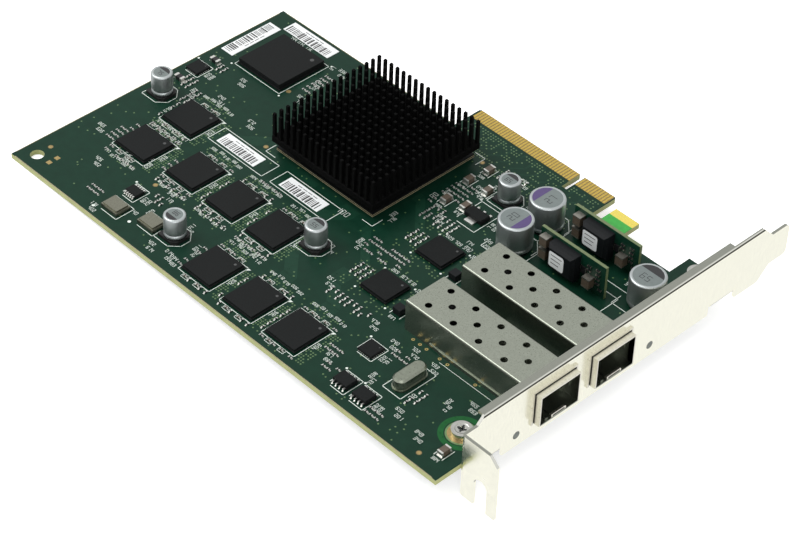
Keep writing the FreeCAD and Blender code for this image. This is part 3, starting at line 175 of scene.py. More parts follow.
# bracket by slope: cream on upright faces; a dark band on steep bends as painted shade; a pale band on
# shallower bends as a painted highlight; grey on level faces as a painted reflection
colour_by_slope(MATERIALS["plated_steel"],
                [(0.12, (0.975, 0.965, 0.83)), (0.2, (0.04, 0.04, 0.03)), (0.55, (0.04, 0.04, 0.03)),
                 (0.75, (0.85, 0.85, 0.78)), (0.97, (0.3, 0.31, 0.27))])
# cage metal by slope: facets between upright and level faces, at the folds, are darkened to 0.4 as painted
# shade that dims their highlight
colour_by_slope(MATERIALS["cage_metal"],
                [(0.12, (1, 1, 1)), (0.3, (0.4, 0.4, 0.4)), (0.85, (0.4, 0.4, 0.4)),
                 (0.97, (1, 1, 1))])
NODE_FINISH = {"pcb": "board_laminate", "crystal": "crystal_tin"}

SLOT_OF = {entry["node"]: entry["material_slot"] for entry in frame["record"]["subparts"]}
for node, thing in frame["nodes"].items():
    for place in thing.material_slots:
        place.material = MATERIALS[NODE_FINISH.get(node, SLOT_OF[node])]


# ---------- mesh helpers

SEGMENTS = {"0": "abcdef", "1": "bc", "2": "abged", "3": "abgcd", "4": "fgbc",
            "5": "afgcd", "6": "afgedc", "7": "abc", "8": "abcdefg", "9": "abcdfg"}
STROKES = {"a": ((0, 2), (1, 2)), "b": ((1, 2), (1, 1)), "c": ((1, 1), (1, 0)), "d": ((0, 0), (1, 0)),
           "e": ((0, 1), (0, 0)), "f": ((0, 2), (0, 1)), "g": ((0, 1), (1, 1))}
DIGIT_ADVANCE = 1.7
ROUND_SIDES = 64


def add_object(name, data):
    made = bpy.data.objects.new(name, data)
    bpy.context.collection.objects.link(made)
    return made


class Piece:
    """A mesh that is built up face by face and then made into an object on the card's body. Sizes are in
    millimetres.
    """

    def __init__(self, name, *slots):
        self.name = name
        self.slots = slots
        self.mesh = bmesh.new()

    def face(self, corners, slot=0):
        made = self.mesh.faces.new([self.mesh.verts.new([value * MM for value in c]) for c in corners])
        made.material_index = slot
        return made

    def box(self, low, high, slot=0, bevel=0.0):
        """A block, which may have its upper edges and corners bevelled."""
        (x, y, z), (u, v, w) = low, high
        levels = [(z, 0), (w - bevel, 0), (w, bevel)] if bevel else [(z, 0), (w, 0)]
        self.loft([[(x + b, y + b, at), (u - b, y + b, at), (u - b, v - b, at), (x + b, v - b, at)]
                   for at, b in levels], slot)

    def loft(self, rings, slot=0, smooth=False):
        """Join rings of equally many points, and close both ends."""
        made = [[self.mesh.verts.new([value * MM for value in point]) for point in ring]
                for ring in rings]
        for lower, upper in zip(made, made[1:]):
            for index in range(len(lower)):
                after = (index + 1) % len(lower)
                side = self.mesh.faces.new((lower[index], lower[after], upper[after], upper[index]))
                side.material_index = slot
                side.smooth = smooth
        for cap in (made[0][::-1], made[-1]):
            self.mesh.faces.new(cap).material_index = slot

    def lathe(self, x, y, profile):
        """Turn a profile of radius and height about an upright axis."""
        self.loft([circle_at(x, y, height, radius, ROUND_SIDES) for radius, height in profile],
                  smooth=True)

    def ribbon(self, points, width=SILK_LINE, z=PRINT_UP, slot=0):
        """A flat line of constant width along a run of points."""
        for start, end in zip(points, points[1:]):
            a, b = Vector((*start, z)), Vector((*end, z))
            along = (b - a).normalized() * width / 2
            across = Vector((-along.y, along.x, 0))
            self.face((a - along - across, b + along - across, b + along + across, a - along + across), slot)

    def frame(self, box, edge, width=SILK_LINE, gap=0.0):
        """A thin outline round a box, which may have a gap at its first corner."""
        x, y, u, v = box[0][0] - edge, box[0][1] - edge, box[1][0] + edge, box[1][1] + edge
        self.ribbon([(x + gap, y), (u, y), (u, v), (x, v), (x, y + gap)], width)

    def disc(self, x, y, radius, z=PRINT_UP, slot=0, sides=12):
        self.face(circle_at(x, y, z, radius, sides), slot)

    def ring(self, x, y, inner, outer, z, slot=0, sides=24, start=0.0, sweep=360.0):
        """A flat ring, or the part of one that sweeps on from a starting angle."""
        steps = [math.radians(start + sweep * index / sides) for index in range(sides + 1)]
        for one, two in zip(steps, steps[1:]):
            self.face([(x + r * math.cos(t), y + r * math.sin(t), z)
                       for r, t in ((inner, one), (outer, one), (outer, two), (inner, two))], slot)

    def digits(self, text, x, y, height, z=PRINT_UP, turn=0.0, slot=0, stroke=0.14):
        """Plain seven-stroke numbers, centred on a point."""
        size = height / 2
        advance = size * DIGIT_ADVANCE
        left = -advance * len(text) / 2 + (advance - size) / 2
        way = Matrix.Rotation(math.radians(turn), 2)
        for index, letter in enumerate(text):
            for name in SEGMENTS[letter]:
                ends = []
                for column, row in STROKES[name]:
                    point = way @ Vector((left + index * advance + column * size, (row - 1) * size))
                    ends.append((x + point.x, y + point.y))
                self.ribbon(ends, stroke, z, slot)

    def done(self, *replaced):
        """Make the piece an object on the card's body, and hide the CAD nodes that it replaces."""
        data = bpy.data.meshes.new(self.name)
        self.mesh.to_mesh(data)
        self.mesh.free()
        for slot in self.slots:
            data.materials.append(MATERIALS[slot])
        piece = add_object(self.name, data)
        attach(piece, BODY)
        if replaced:
            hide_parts(*replaced)


def circle_at(x, y, z, radius, sides=12):
    """Corners of a level circle."""
    turns = [2 * math.pi * index / sides for index in range(sides)]
    return [(x + radius * math.cos(turn), y + radius * math.sin(turn), z) for turn in turns]


def box_of(node):
    """Lowest and highest corner of a CAD node, in millimetres."""
    return [[value / MM for value in corner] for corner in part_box(node)]


def middle_of(node):
    low, high = box_of(node)
    return [(one + two) / 2 for one, two in zip(low, high)]


def round_of(box):
    """Middle and radius of a round thing that fills a box."""
    (x, y, _), (u, v, _) = box
    return (x + u) / 2, (y + v) / 2, (u - x) / 2


def corners_of(node):
    """Each corner of a CAD node seen from above, with the way that points outward."""
    (x, y, _), (u, v, _) = box_of(node)
    return [(px, py, sx, sy) for px, sx in ((x, -1), (u, 1)) for py, sy in ((y, -1), (v, 1))]


def solids_of(node):
    """Lowest and highest corner of each separate solid of a CAD node, in millimetres."""
    mesh = frame["nodes"][node].data
    group = {}
    keys = [tuple(round(value / MM, 3) for value in vertex.co) for vertex in mesh.vertices]

    def head(key):
        while group.setdefault(key, key) != key:
            key = group[key]
        return key

    for polygon in mesh.polygons:
        first = head(keys[polygon.vertices[0]])
        for vertex in polygon.vertices:
            group[head(keys[vertex])] = first
    solids = {}
    for key in set(keys):
        solids.setdefault(head(key), []).append(key)
    return sorted([[pick(values) for values in zip(*points)] for pick in (min, max)]
                  for points in solids.values())


MEMORY = [f"memory_chip_{index}" for index in range(1, 9)]
LINE_CHIPS = ("phy_chip_a", "phy_chip_b")
CAGES = ("sfp_cage_a", "sfp_cage_b")
BOARD_LOW, BOARD_HIGH = box_of("pcb")
LABEL_ROW = (40, 60)
SHOULDER = -10.6
HOLE = (BOARD_LOW[0] + 5.08, BOARD_LOW[1] + 5.08)
CONTACT_GAP = 0.6
chance = random.Random(7)


# ---------- printed on the board

LOOSE_VIAS = 520
TRACK_PITCH = 0.36
TRACK_WIDTH = 0.15
EDGE_PAIRS = 12
EDGE_PAIR_START = -36
EDGE_PAIR_PITCH = 3.9


def number_text(count=3):
    return "".join(chance.choice("0123456789") for _ in range(count))


def write(ink, count, x, y, height, turn=0):
    """A plain reference number, wherever the board lies under it."""
    text = number_text(count)
    if in_board(x, y):
        ink.digits(text, x, y, height, turn=turn)


def spot_by(node, dx, dy):
    """A point at an offset from the middle of a CAD node."""
    x, y, _ = middle_of(node)
    return x + dx, y + dy


def make_silkscreen():
    """White outlines, marks and plain reference numbers printed on the board."""
    ink = Piece("silkscreen", "silk_ink")
    print_memory(ink)
    print_large_chips(ink)
    print_cans(ink)
    print_small_parts(ink)
    print_loose_numbers(ink)
    ink.done()


def print_memory(ink):
    """An outline with a filled corner at the first pin, and numbers on three sides of each chip."""
    edge, corner, height = 0.55, 0.7, 0.85
    for box in map(box_of, MEMORY):
        (x, y, _), (u, v, _) = box
        ink.frame(box, edge)
        ink.face([(px, py, PRINT_UP) for px, py in ((u + edge, v - corner), (u + 1.6, v + edge),
                                                    (u + edge, v + edge))])
        for step in range(5):
            place, wave = x + 1.2 + 2.6 * step, 0.5 * (step % 2)
            write(ink, 3, place, v + 4.2 + wave, height)
            write(ink, 3, place, y - 3.4 - wave, height)
        write(ink, 3, u + 1.7, (y + v) / 2, 1.1, turn=90)


def print_large_chips(ink):
    """Dots round the large packages, and corner brackets and two fixed numbers by the controller."""
    for node, away in (("bridge_chip", 1.2), ("phy_chip_a", 0.7), ("phy_chip_b", 0.7)):
        (x, y, _), (u, v, _) = box_of(node)
        if node == "bridge_chip":
            ink.frame(box_of(node), 0.6)
        for px, py, sx, sy in corners_of(node):
            ink.disc(px + away * sx, py + away * sy, 0.33)
        for step in range(3):
            write(ink, 3, x + 2 + 3.2 * step, v + 1.9, 1.0)
        write(ink, 2, u + 2.0, v + 0.8, 1.1, turn=90)
    reach, leg = 2.2, 1.6
    for px, py, sx, sy in corners_of("controller"):
        ink.ribbon([(px + reach * sx, py - leg * sy), (px + reach * sx, py + reach * sy),
                    (px - leg * sx, py + reach * sy)])
    (x, y, _), (u, v, _) = box_of("controller")
    ink.digits("100", (x + u) / 2 + 12, y - 4.0, 1.8)
    ink.digits("00", u + 4.0, (y + v) / 2, 1.5, turn=90)


def print_cans(ink):
    """Outlines with two cut corners, a plus sign and a number beside each can."""
    plus, plus_line = 0.8, 0.26
    for node, edge in (("small_capacitor_bases", 0.9), ("large_capacitor_bases", 1.1)):
        for (x, y, _), (u, v, _) in solids_of(node):
            snip = (u - x) / 4
            ink.ribbon([(u - snip, y - edge), (x - edge, y - edge), (x - edge, y + snip)])
            ink.ribbon([(x - edge, v - snip), (x - edge, v + edge), (u - snip, v + edge),
                        (u + edge, v - snip), (u + edge, v - 2 * snip)])
            ink.ribbon([(u + edge, y + 2 * snip), (u + edge, y + snip), (u - snip, y - edge)])
            px, py = x - 2.4, v + 0.6
            ink.ribbon([(px - plus, py), (px + plus, py)], plus_line)
            ink.ribbon([(px, py - plus), (px, py + plus)], plus_line)
            write(ink, 3, px - 0.6, py - 3.0, 1.1, turn=90)


def print_small_parts(ink):
    """Outlines, dots and numbers at the supply boards, the small chips, the cages and the labels."""
    for index in (1, 2):
        (x, y, _), (u, v, _) = box_of(f"supply_board_{index}")
        ink.ribbon([(u - 7, y - 6.4), (u + 2.6, y - 6.4), (u + 2.6, v + 2.0), (u - 7, v + 2.0)])
        ink.ribbon([(x + 4, v + 2.0), (x - 1.6, v + 2.0), (x - 1.6, y - 1.5)])
    for node, edge in (("eeprom_chip_1", 0.5), ("eeprom_chip_2", 0.5), ("driver_chip", 0.5),
                       ("clock_chip", 0.6), ("corner_chip", 0.6), ("regulator", 0.5)):
        (x, y, _), (u, v, _) = box_of(node)
        ink.frame(box_of(node), edge, gap=1.2)
        ink.disc(x - edge - 0.6, v + edge + 0.3, 0.36)
        for step in (0, 1):
            write(ink, 3, u + 1.8 + 1.6 * step, (y + v) / 2, 1.0, turn=90)
    for node in ("oscillator_1", "oscillator_2"):
        (x, y, _), (u, v, _) = box_of(node)
        ink.frame(box_of(node), 0.7, gap=1.6)
        ink.disc(x - 1.6, y - 1.4, 0.5)
        write(ink, 2, u + 2.0, v, 1.1)
    (_, y, _), (u, _, _) = box_of("crystal")
    ink.frame(box_of("crystal"), 0.9)
    write(ink, 2, u + 2.4, y + 2.0, 1.4, turn=90)
    for (x, y, _), (u, _, _) in map(box_of, CAGES):
        ink.ribbon([(x + 15, y - 2.2), (u - 6, y - 2.2)], FINE_LINE)
    for (x, y, _), (u, v, _) in solids_of("labels"):
        if y > BOARD_LOW[1] + LABEL_ROW[0] and v < BOARD_LOW[1] + LABEL_ROW[1]:
            ink.frame(((x - 1.7, y), (u + 3.6, v)), 0.9)
    for (x, y, _), (u, v, _) in solids_of("chip_capacitors"):
        ink.frame(((x - 0.15, y), (u + 0.15, v)), 0.45, FINE_LINE)
    for (x, y, _), (u, v, _) in solids_of("filter_capacitors") + solids_of("line_chokes"):
        for side in (x - 0.5, u + 0.5):
            ink.ribbon([(side, y - 0.5), (side, v + 0.5)])
        write(ink, 3, (x + u) / 2, y - 1.5, 0.9)


def print_loose_numbers(ink):
    """Reference numbers on the open board: each is at an offset from a chip, with its turn."""
    loose = (("memory_chip_8", (-8, -2, 90), (-10, 9, 90), (-2, 13, 0), (12, 12, 0), (-15, -20, 0)),
             ("driver_chip", (-14, 9, 0), (-8, 12, 90), (7, 7, 0), (-4, -11, 0), (-18, 2, 0), (9, -2, 90)),
             ("oscillator_2", (6, -5, 0), (12, -4, 0), (8, 7, 90), (2, 8, 0)),
             ("memory_chip_4", (-9, 2, 90), (-10, -5, 0)),
             ("clock_chip", (-7, 8, 0), (2, 6.5, 0), (7, -6, 90), (-6, -9, 0), (15, 8, 0)),
             ("crystal", (6, -9, 0), (12, 2, 90), (15, -11, 0), (-7, 9, 0), (17, 6, 0)),
             ("bridge_chip", (13, 2, 90), (15, -6, 0), (14, 11, 0), (-2, -13, 0)),
             ("regulator", (-8, 9, 0), (-13, 1, 90), (9, -5, 0), (-2, 20, 0), (6, 21, 0)),
             ("phy_chip_a", (-12, -8, 0), (-18, 8, 90), (9, 8, 0), (-22, 1, 0)),
             ("phy_chip_b", (-20, 2, 90), (2, 9, 0), (-11, 11, 0), (10, 9, 90)))
    for node, *places in loose:
        for dx, dy, turn in places:
            x, y = spot_by(node, dx, dy)
            for row in (0, 1):
                write(ink, 3, x + 1.5 * row, y - 1.9 * row, 1.05, turn=turn)


def make_fiducials():
    """Bare gold: the assembly machines' targets, test pads, the screw's land and test points."""
    target = Piece("fiducials", "dull_gold", "contact_ground", "via_ring")
    near_corner = (BOARD_LOW[0] + 4.9, BOARD_LOW[1] + 9.9)
    spots = [near_corner, spot_by("driver_chip", 1.1, 6.3), spot_by("controller", -37.3, 1.2),
             spot_by("controller", -22.8, -20.2), spot_by("controller", 22.1, 19.7),
             (BOARD_HIGH[0] - 9.5, BOARD_LOW[1] + 3.6)]
    for x, y in spots:
        target.disc(x, y, 0.75, 0.01, 1, 24)
        target.disc(x, y, 0.5, 0.02, 0, 20)
    half = 0.7
    for step in (0, 1):
        x, y = near_corner[0] + 5.1, near_corner[1] - 4.5 + 2.8 * step
        target.box((x - half, y - half, 0), (x + half, y + half, 0.03))
    cx, cy, _ = round_of(solids_of("bracket_screws")[0])
    target.ring(cx, cy, 1.6, 3.7, 0.015, 0, 48)
    target.ring(cx, cy, 3.7, 4.2, 0.018, 2, 48)
    (x, y, _), _ = box_of("sfp_cage_a")
    for step in (0, 2.5, 4.9, 9.7, 12.5, 22.4):
        target.ring(x + 4.4 + step, y - 1.2, 0.2, 0.5, 0.03, 0, 16)
    target.done()


def in_board(x, y):
    """Whether a point is on the open board, away from its edges and the tooling hole."""
    inside = (BOARD_LOW[0] + 1.5 < x < BOARD_HIGH[0] - 1.5
              and BOARD_LOW[1] + 1.5 < y < SHOULDER - 2.5)
    return inside and math.hypot(x - HOLE[0], y - HOLE[1]) > 3.2


def grid(low, high, pitch, share):
    """Points of a square grid, of which only a share is kept."""
    spots = []
    for column in range(round((high[0] - low[0]) / pitch)):
        for row in range(round((high[1] - low[1]) / pitch)):
            if chance.random() < share:
                spots.append((round(low[0] + pitch * column, 2), round(low[1] + pitch * row, 2)))
    return spots


def make_vias():
    """Plated through holes: fields by the memory, the line chips and the contacts, and loose ones."""
    spots = []
    for (x, y, _), (u, v, _) in map(box_of, MEMORY):
        spots += grid((u + 1.1, y - 1), (u + 4.9, v + 1), 0.85, 0.75)
        spots += grid((x, v + 1.9), (u, v + 5.0), 0.85, 0.5)
        spots += grid((x, y - 4.4), (u, y - 1.9), 0.85, 0.4)
    for (x, y, _), (u, v, _) in map(box_of, LINE_CHIPS):
        spots += grid((x - 7, y - 3), (u + 3, v + 4), 1.05, 0.35)
    (x, y, _), (u, v, _) = box_of("edge_contacts")
    spots += grid((x, SHOULDER - 8), (u, SHOULDER - 1), 0.95, 0.5)
    spots += [(chance.uniform(BOARD_LOW[0], BOARD_HIGH[0]), chance.uniform(BOARD_LOW[1], SHOULDER))
              for _ in range(LOOSE_VIAS)]
    via = Piece("vias", "via_ring", "hole_shade")
    for x, y in sorted(set(spots)):
        if in_board(x, y):
            add_via(via, x, y, 0.25, 0.1)
            # the same ring, and the dark disc of painted hole shade, on the underside
            for slot, (radius, up, sides) in enumerate(((0.25, 0.008, 8), (0.1, 0.012, 6))):
                via.face(circle_at(x, y, BOARD_LOW[2] - up, radius, sides)[::-1], slot)
    add_edge_vias(via)
    via.done()


def add_via(via, x, y, ring, hole):
    """A via's masked ring, and a dark disc as painted shade in its hole, on the upper face of the board."""
    via.disc(x, y, ring, 0.008, 0, 8)
    via.disc(x, y, hole, 0.012, 1, 6)


def add_edge_vias(via):
    """Vias in rows between the gold contacts and the open board, away from the key notch."""
    draw = random.Random(11)
    upper = sorted(low[:2] + high[:1] for low, high in solids_of("edge_contacts") if low[2] > -0.5)
    for (_, _, end), (start, y, _) in zip(upper, upper[1:]):
        for row in range(7):
            wanted = draw.random() < (0.85 if row < 2 else 0.35)
            if wanted and start - end < CONTACT_GAP:
                add_via(via, (end + start) / 2, y - 1.3 - 0.95 * row, 0.24, 0.08)


def make_traces():
    """Copper tracks under the solder mask, in bundles that turn by 45 degrees."""
    copper = Piece("tracks", "track_green")
    chip_low, chip_high = box_of("controller")

    def bundle(start, end, count, upright=False):
        (x, y), (u, v) = (start[::-1], end[::-1]) if upright else (start, end)
        middle = (x + u) / 2
        drop = abs(v - y) / 2 * math.copysign(1, u - x)
        for index in range(count):
            shift = (index - count / 2) * TRACK_PITCH
            path = [(x, y + shift), (middle - drop, y + shift), (middle + drop, v + shift), (u, v + shift)]
            copper.ribbon([point[::-1] for point in path] if upright else path, TRACK_WIDTH, 0.005)

    for x, y, _ in map(middle_of, MEMORY[:3]):
        bundle((x + 7, chip_low[1] - 1), (x + 1, y + 8), 16, True)
    for x, y, _ in map(middle_of, MEMORY[3:6]):
        bundle((x - 1, y + 8), (x - 8, y + 26), 14, True)
    for x, y, _ in map(middle_of, MEMORY[6:]):
        bundle((x + 8, y), (chip_low[0] - 1, y + 10), 16)
    for x, y, _ in map(middle_of, LINE_CHIPS):
        bundle((chip_high[0] + 1, y + 12), (x - 6, y), 10)
        bundle((x + 6, y), (x + 20, y), 8)
    x, y, _ = middle_of("bridge_chip")
    bundle((x + 10, y), (chip_low[0] - 1, y - 3), 20)
    for step in range(EDGE_PAIRS):
        at = EDGE_PAIR_START + EDGE_PAIR_PITCH * step
        bundle((at, -5.6), (at - 3, -17.5), 2, True)
    copper.done()


# ---------- mounted on the board

CHIP_PARTS = {"chip_capacitors": ("ceramic_brown", 0.25), "chip_resistors": ("resistor_black", 0.25),
              "filter_capacitors": ("ceramic_brown", 0.16)}
FRONT_CHIPS = ((17.5, 7.9), (17.5, 6.6), (20.6, 8.4), (20.6, 6.9), (20.6, 5.4), (20.6, 3.9), (21.6, 2.4))
BACK_CHIPS = ((5.0, 6.2), (10.0, 6.2), (14.0, 5.0), (18.0, 6.5))
NOSE_START, NOSE_OUT, NOSE_WALL = 0.62, 0.05, 0.35
# the latch tongue, its bright end, the dark slot in that and the clip beside it: reach along,
# across and up, slot and bevel
LATCH = ((-8.0, -0.2, -2.2, 2.2, 0.35, 0.6, 0, 0.1), (-0.9, -0.1, -2.6, 2.6, 0.3, 1.2, 2, 0.1),
         (-0.2, -0.06, -2.1, 2.1, 0.55, 0.95, 1, 0), (-1.6, -0.4, -4.6, -3.6, 0.3, 0.9, 0, 0.1))


def make_chip_parts():
    """Small capacitors and resistors with tinned ends on solder pads."""
    for node, (slot, share) in CHIP_PARTS.items():
        part = Piece(node + "_detail", slot, "tinned_copper")
        for low, high in solids_of(node):
            add_chip(part, low, high, share)
        part.done(node)


def add_chip(part, low, high, share=0.25):
    """One two-ended chip: body, end caps and the solder in front of each end."""
    along = 0 if high[0] - low[0] > high[1] - low[1] else 1
    first, last, foot, top = low[along], high[along], low[2], high[2]
    cap, pad = (last - first) * share, 0.3

    def block(start, stop, inset, roof, slot, bevel):
        near, far = list(low), [*high[:2], roof]
        near[along], far[along] = start, stop
        near[1 - along] += inset
        far[1 - along] -= inset
        part.box(near, far, slot, bevel)

    block(first + cap, last - cap, 0.02, top - 0.02, 0, 0.04)
    block(first, first + cap, 0, top, 1, 0.05)
    block(last - cap, last, 0, top, 1, 0.05)
    block(first - pad, first, 0.02, foot + 0.12, 1, 0.05)
    block(last, last + pad, 0.02, foot + 0.12, 1, 0.05)


def clear_of(low, high, boxes, margin=0.35):
    """Whether a box seen from above keeps a margin from all others."""
    return all(low[0] > b[1][0] + margin or high[0] < b[0][0] - margin
               or low[1] > b[1][1] + margin or high[1] < b[0][1] - margin for b in boxes)


def make_fine_chips():
    """The smallest chip parts, in the clusters round the large packages."""
    part = Piece("fine_chips", "resistor_black", "tinned_copper", "ceramic_brown")
    taken = [box for node in frame["nodes"] if node not in ("pcb", "bracket", "heat_sink")
             for box in solids_of(node)]
    taken.append(box_of("heat_sink"))
    for dx, dy in ((1.0, 5.7), (0.4, -7.2)):
        x, y = spot_by("corner_chip", dx, dy)
        low, high = (x - 1.6, y - 0.8, 0), (x + 1.6, y + 0.8, 1.3)
        add_chip(part, low, high)
        taken.append((low, high))
    groups = (("phy_chip_a", (-16, 6.5, 8, 4), (-9, -12, 9, 2)),
              ("phy_chip_b", (-15, 7.5, 7, 4), (8, 7, 4, 2)),
              ("regulator", (-13.5, -5, 4, 8), (-8, 16, 5, 3)), ("corner_chip", (1, -8, 3, 3), (4, 4, 2, 2)),
              ("bridge_chip", (13, -3, 2, 6), (-4, 14, 5, 1)), ("clock_chip", (-8, -8, 3, 2), (5, 3, 4, 2)),
              ("crystal", (5, -6, 2, 4)), ("eeprom_chip_2", (4, -3, 3, 2)),
              ("driver_chip", (-10, -8, 4, 2), (5, 2, 3, 2)), ("memory_chip_2", (-3, 11, 6, 1)),
              ("memory_chip_8", (-9, 4, 2, 4)), ("memory_chip_7", (-10, -5, 2, 4)),
              ("eeprom_chip_1", (-8, 0, 3, 2)), ("oscillator_2", (7, 0, 3, 2)))
    for node, *fields in groups:
        for dx, dy, columns, rows in fields:
            fill_group(part, taken, *spot_by(node, dx, dy), columns, rows, 1.75)
    for (x, y, _), (_, v, _) in map(box_of, MEMORY):
        for level in (v + 1.4, y - 1.4, y - 3.2):
            fill_group(part, taken, x + 0.6, level, 6, 1, 2.2)
        fill_group(part, taken, x - 1.6, y + 1.0, 1, 5, 2.2)
    part.done()


def fill_group(part, taken, x, y, columns, rows, pitch):
    """Set chip parts on a grid wherever the board is clear, all of a group in the same direction."""
    half = (0.25, 0.5) if chance.random() < 0.5 else (0.5, 0.25)
    for column in range(columns):
        for row in range(rows):
            px, py = x + pitch * column, y + pitch * row
            low, high = (px - half[0], py - half[1], 0), (px + half[0], py + half[1], 0.4)
            wanted = chance.random() < 0.85
            if wanted and clear_of(low, high, taken) and in_board(px, py):
                add_chip(part, low, high, 0.3)
                taken.append((low, high))


def make_cans():
    """Turned aluminium cans with a sealing groove, a rounded top and a painted segment."""
    facing = {"small_capacitors": (90, -90, 90, 90), "large_capacitors": (180, 0, 90)}
    spread, steps, rim = math.radians(68), 24, 0.85
    for node, ink in (("small_capacitors", "can_black"), ("large_capacitors", "can_purple")):
        part = Piece(node + "_detail", "can_aluminium", "can_top", ink, "can_black")
        for order, box in enumerate(solids_of(node)):
            cx, cy, radius = round_of(box)
            z, w = box[0][2], box[1][2]
            neck = z + 0.9
            profile = ((0.5, z), (0.12, z + 0.1), (0, z + 0.35), (0, neck), (0.22, neck + 0.25),
                       (0.26, neck + 0.4), (0.2, neck + 0.6), (0.02, neck + 0.85), (0, neck + 1.0),
                       (0, w - 0.55), (0.08, w - 0.28), (0.25, w - 0.09), (0.5, w - 0.02),
                       (0.75, w - 0.02), (rim, w - 0.06))
            part.lathe(cx, cy, [(radius - inset, height) for inset, height in profile])
            inner = radius - rim
            part.disc(cx, cy, inner, w - 0.05, 1, 64)
            turn = math.radians(facing[node][order])
            arc = [turn - spread + 2 * spread * step / steps for step in range(steps + 1)]
            dark = 3 if node == "large_capacitors" and order == 2 else 2
            part.face([(cx + inner * math.cos(t), cy + inner * math.sin(t), w - 0.03) for t in arc], dark)
            back = inner * 0.25
            part.digits(number_text(2), cx - back * math.cos(turn), cy - back * math.sin(turn),
                        radius * 0.42, w - 0.03, math.degrees(turn) - 90, 3, 0.16)
        part.done(node)


def make_label_print():
    """Plain bars and a row of plain dashes on the paper labels."""
    print_ink = Piece("label_print", "label_ink")
    margin, dash, dash_line = 0.9, 0.7, 0.22
    for (x, y, _), (u, v, w) in solids_of("labels"):
        upright = v - y > u - x
        start, stop, low, high = (y, v, x, u) if upright else (x, u, y, v)
        lines = []
        place = start + margin
        while place < stop - margin:
            bar = chance.choice((0.2, 0.3, 0.5))
            lines.append((bar, (place, low + 0.5), (place, high - 1.9)))
            place += bar + chance.choice((0.25, 0.35, 0.5))
        middle, level = (start + stop) / 2, high - 0.95
        for step in (-3, -1, 1, 3):
            lines.append((dash_line, (middle + step - dash, level), (middle + step + dash, level)))
        for width, *ends in lines:
            print_ink.ribbon([end[::-1] for end in ends] if upright else ends, width, w + PRINT_UP)
    print_ink.done()


def make_supply_marks():
    """Stickers on the supply chokes, tinned capacitor ends and the boards' small chips."""
    sticker = Piece("choke_stickers", "label_paper", "label_ink")
    ends = Piece("supply_capacitor_ends", "ceramic_brown", "dull_tin")
    parts = Piece("supply_chips", "resistor_black", "dull_tin")
    for index in (1, 2):
        add_sticker(sticker, box_of(f"supply_choke_{index}")[0])
        for (x, y, z), (u, v, w) in solids_of(f"supply_capacitors_{index}"):
            cap = (w - z) * 0.12
            ends.box((x, y, z), (u, v, z + cap), 1)
            ends.box((x + 0.03, y + 0.03, z + cap), (u - 0.03, v, w - cap), 0)
            ends.box((x, y, w - cap), (u, v, w), 1)
        (x, y, _), (_, v, _) = box_of(f"supply_board_{index}")
        for px, pz in FRONT_CHIPS:
            add_wall_chip(parts, x + px, y, pz, 1.0, 0.5)
        add_wall_chip(parts, x + 15.6, y, 5.6, 1.8, 2.2)
        for px, pz in BACK_CHIPS:
            parts.box((x + px - 1.4, v, pz - 1.1), (x + px + 1.4, v + 0.9, pz + 1.1), 0)
    sticker.done()
    ends.done("supply_capacitors_1", "supply_capacitors_2")
    parts.done()


def add_sticker(sticker, choke_low):
    """A paper sticker with round corners and three plain lines on the front of a choke."""
    x, y, z = choke_low
    low, high, base, top = x + 1.0, x + 6.2, z + 1.6, z + 6.6
    face, r, half = y - 0.03, 0.7, 0.12
    outline = []
    for cx, cz, start in ((high - r, base + r, -90), (high - r, top - r, 0),
                          (low + r, top - r, 90), (low + r, base + r, 180)):
        turns = [math.radians(start + 18 * step) for step in range(6)]
        outline += [(cx + r * math.cos(turn), face, cz + r * math.sin(turn)) for turn in turns]
    sticker.face(outline)
    for row in range(3):
        start, stop, level = low + 0.7, high - 0.7 - 0.5 * row, top - 1.1 - 1.3 * row
        corners = ((start, level - half), (stop, level - half), (stop, level + half), (start, level + half))
        sticker.face([(px, face - 0.01, pz) for px, pz in corners], 1)


def add_wall_chip(part, x, face, z, wide, tall):
    """A small chip part on the upright face of a supply board."""
    part.box((x - wide / 2, face - 0.4, z - tall / 2), (x + wide / 2, face, z + tall / 2), 0)
    for side in (-1, 1):
        edge = x + side * wide / 2
        part.box((edge - 0.15, face - 0.42, z - tall / 2), (edge + 0.15, face, z + tall / 2), 1)


def add_arch(part, start, stop, low, high, foot, top, thick, slot=0):
    """Two walls and a roof round the end of a cage."""
    part.box((start, low, foot), (stop, low + thick, top), slot)
    part.box((start, high - thick, foot), (stop, high, top), slot)
    part.box((start, low + thick, top - thick), (stop, high - thick, top), slot)


def make_ports():
    """What shows round and inside the two module openings."""
    collar = Piece("port_collars", "collar_metal", "gasket_rubber")
    inner = Piece("port_latches", "cage_metal", "socket_plastic", "collar_metal")
    face = box_of("port_gasket_a")[1][0]
    for (_, y, z), (u, v, w) in map(box_of, CAGES):
        for grow, thick, reach, slot in ((0.42, 0.5, 0.55, 0), (0.02, 0.38, 0.35, 1)):
            low, high, top = y - grow - thick, v + grow + thick, w + grow + thick
            add_arch(collar, face, face + reach, low, high, z - 0.4, top, thick, slot)
        add_arch(collar, face + NOSE_START, u + NOSE_OUT, y - NOSE_OUT, v + NOSE_OUT, z, w + NOSE_OUT,
                 NOSE_WALL)
        middle = (y + v) / 2
        for start, stop, left, right, low, high, slot, bevel in LATCH:
            inner.box((u + start, middle + left, z + low), (u + stop, middle + right, z + high), slot, bevel)
        for side in (y + 0.32, v - 0.62):
            inner.box((u - 12.0, side, z + 3.4), (u - 3.0, side + 0.3, z + 5.6), 0, 0.1)
    collar.done()
    inner.done()


def make_cage_lips():
    """The folded lower lips along both sides of the two cages."""
    lip = Piece("cage_lips", "cage_metal")
    for (x, y, z), (u, v, _) in map(box_of, CAGES):
        for side, way in ((y, -1), (v, 1)):
            low, high = sorted((side, side + way * 0.22))
            lip.box((x + 9.0, low, z + 0.75), (u - 4.6, high, z + 1.25), 0, 0.05)
    lip.done()


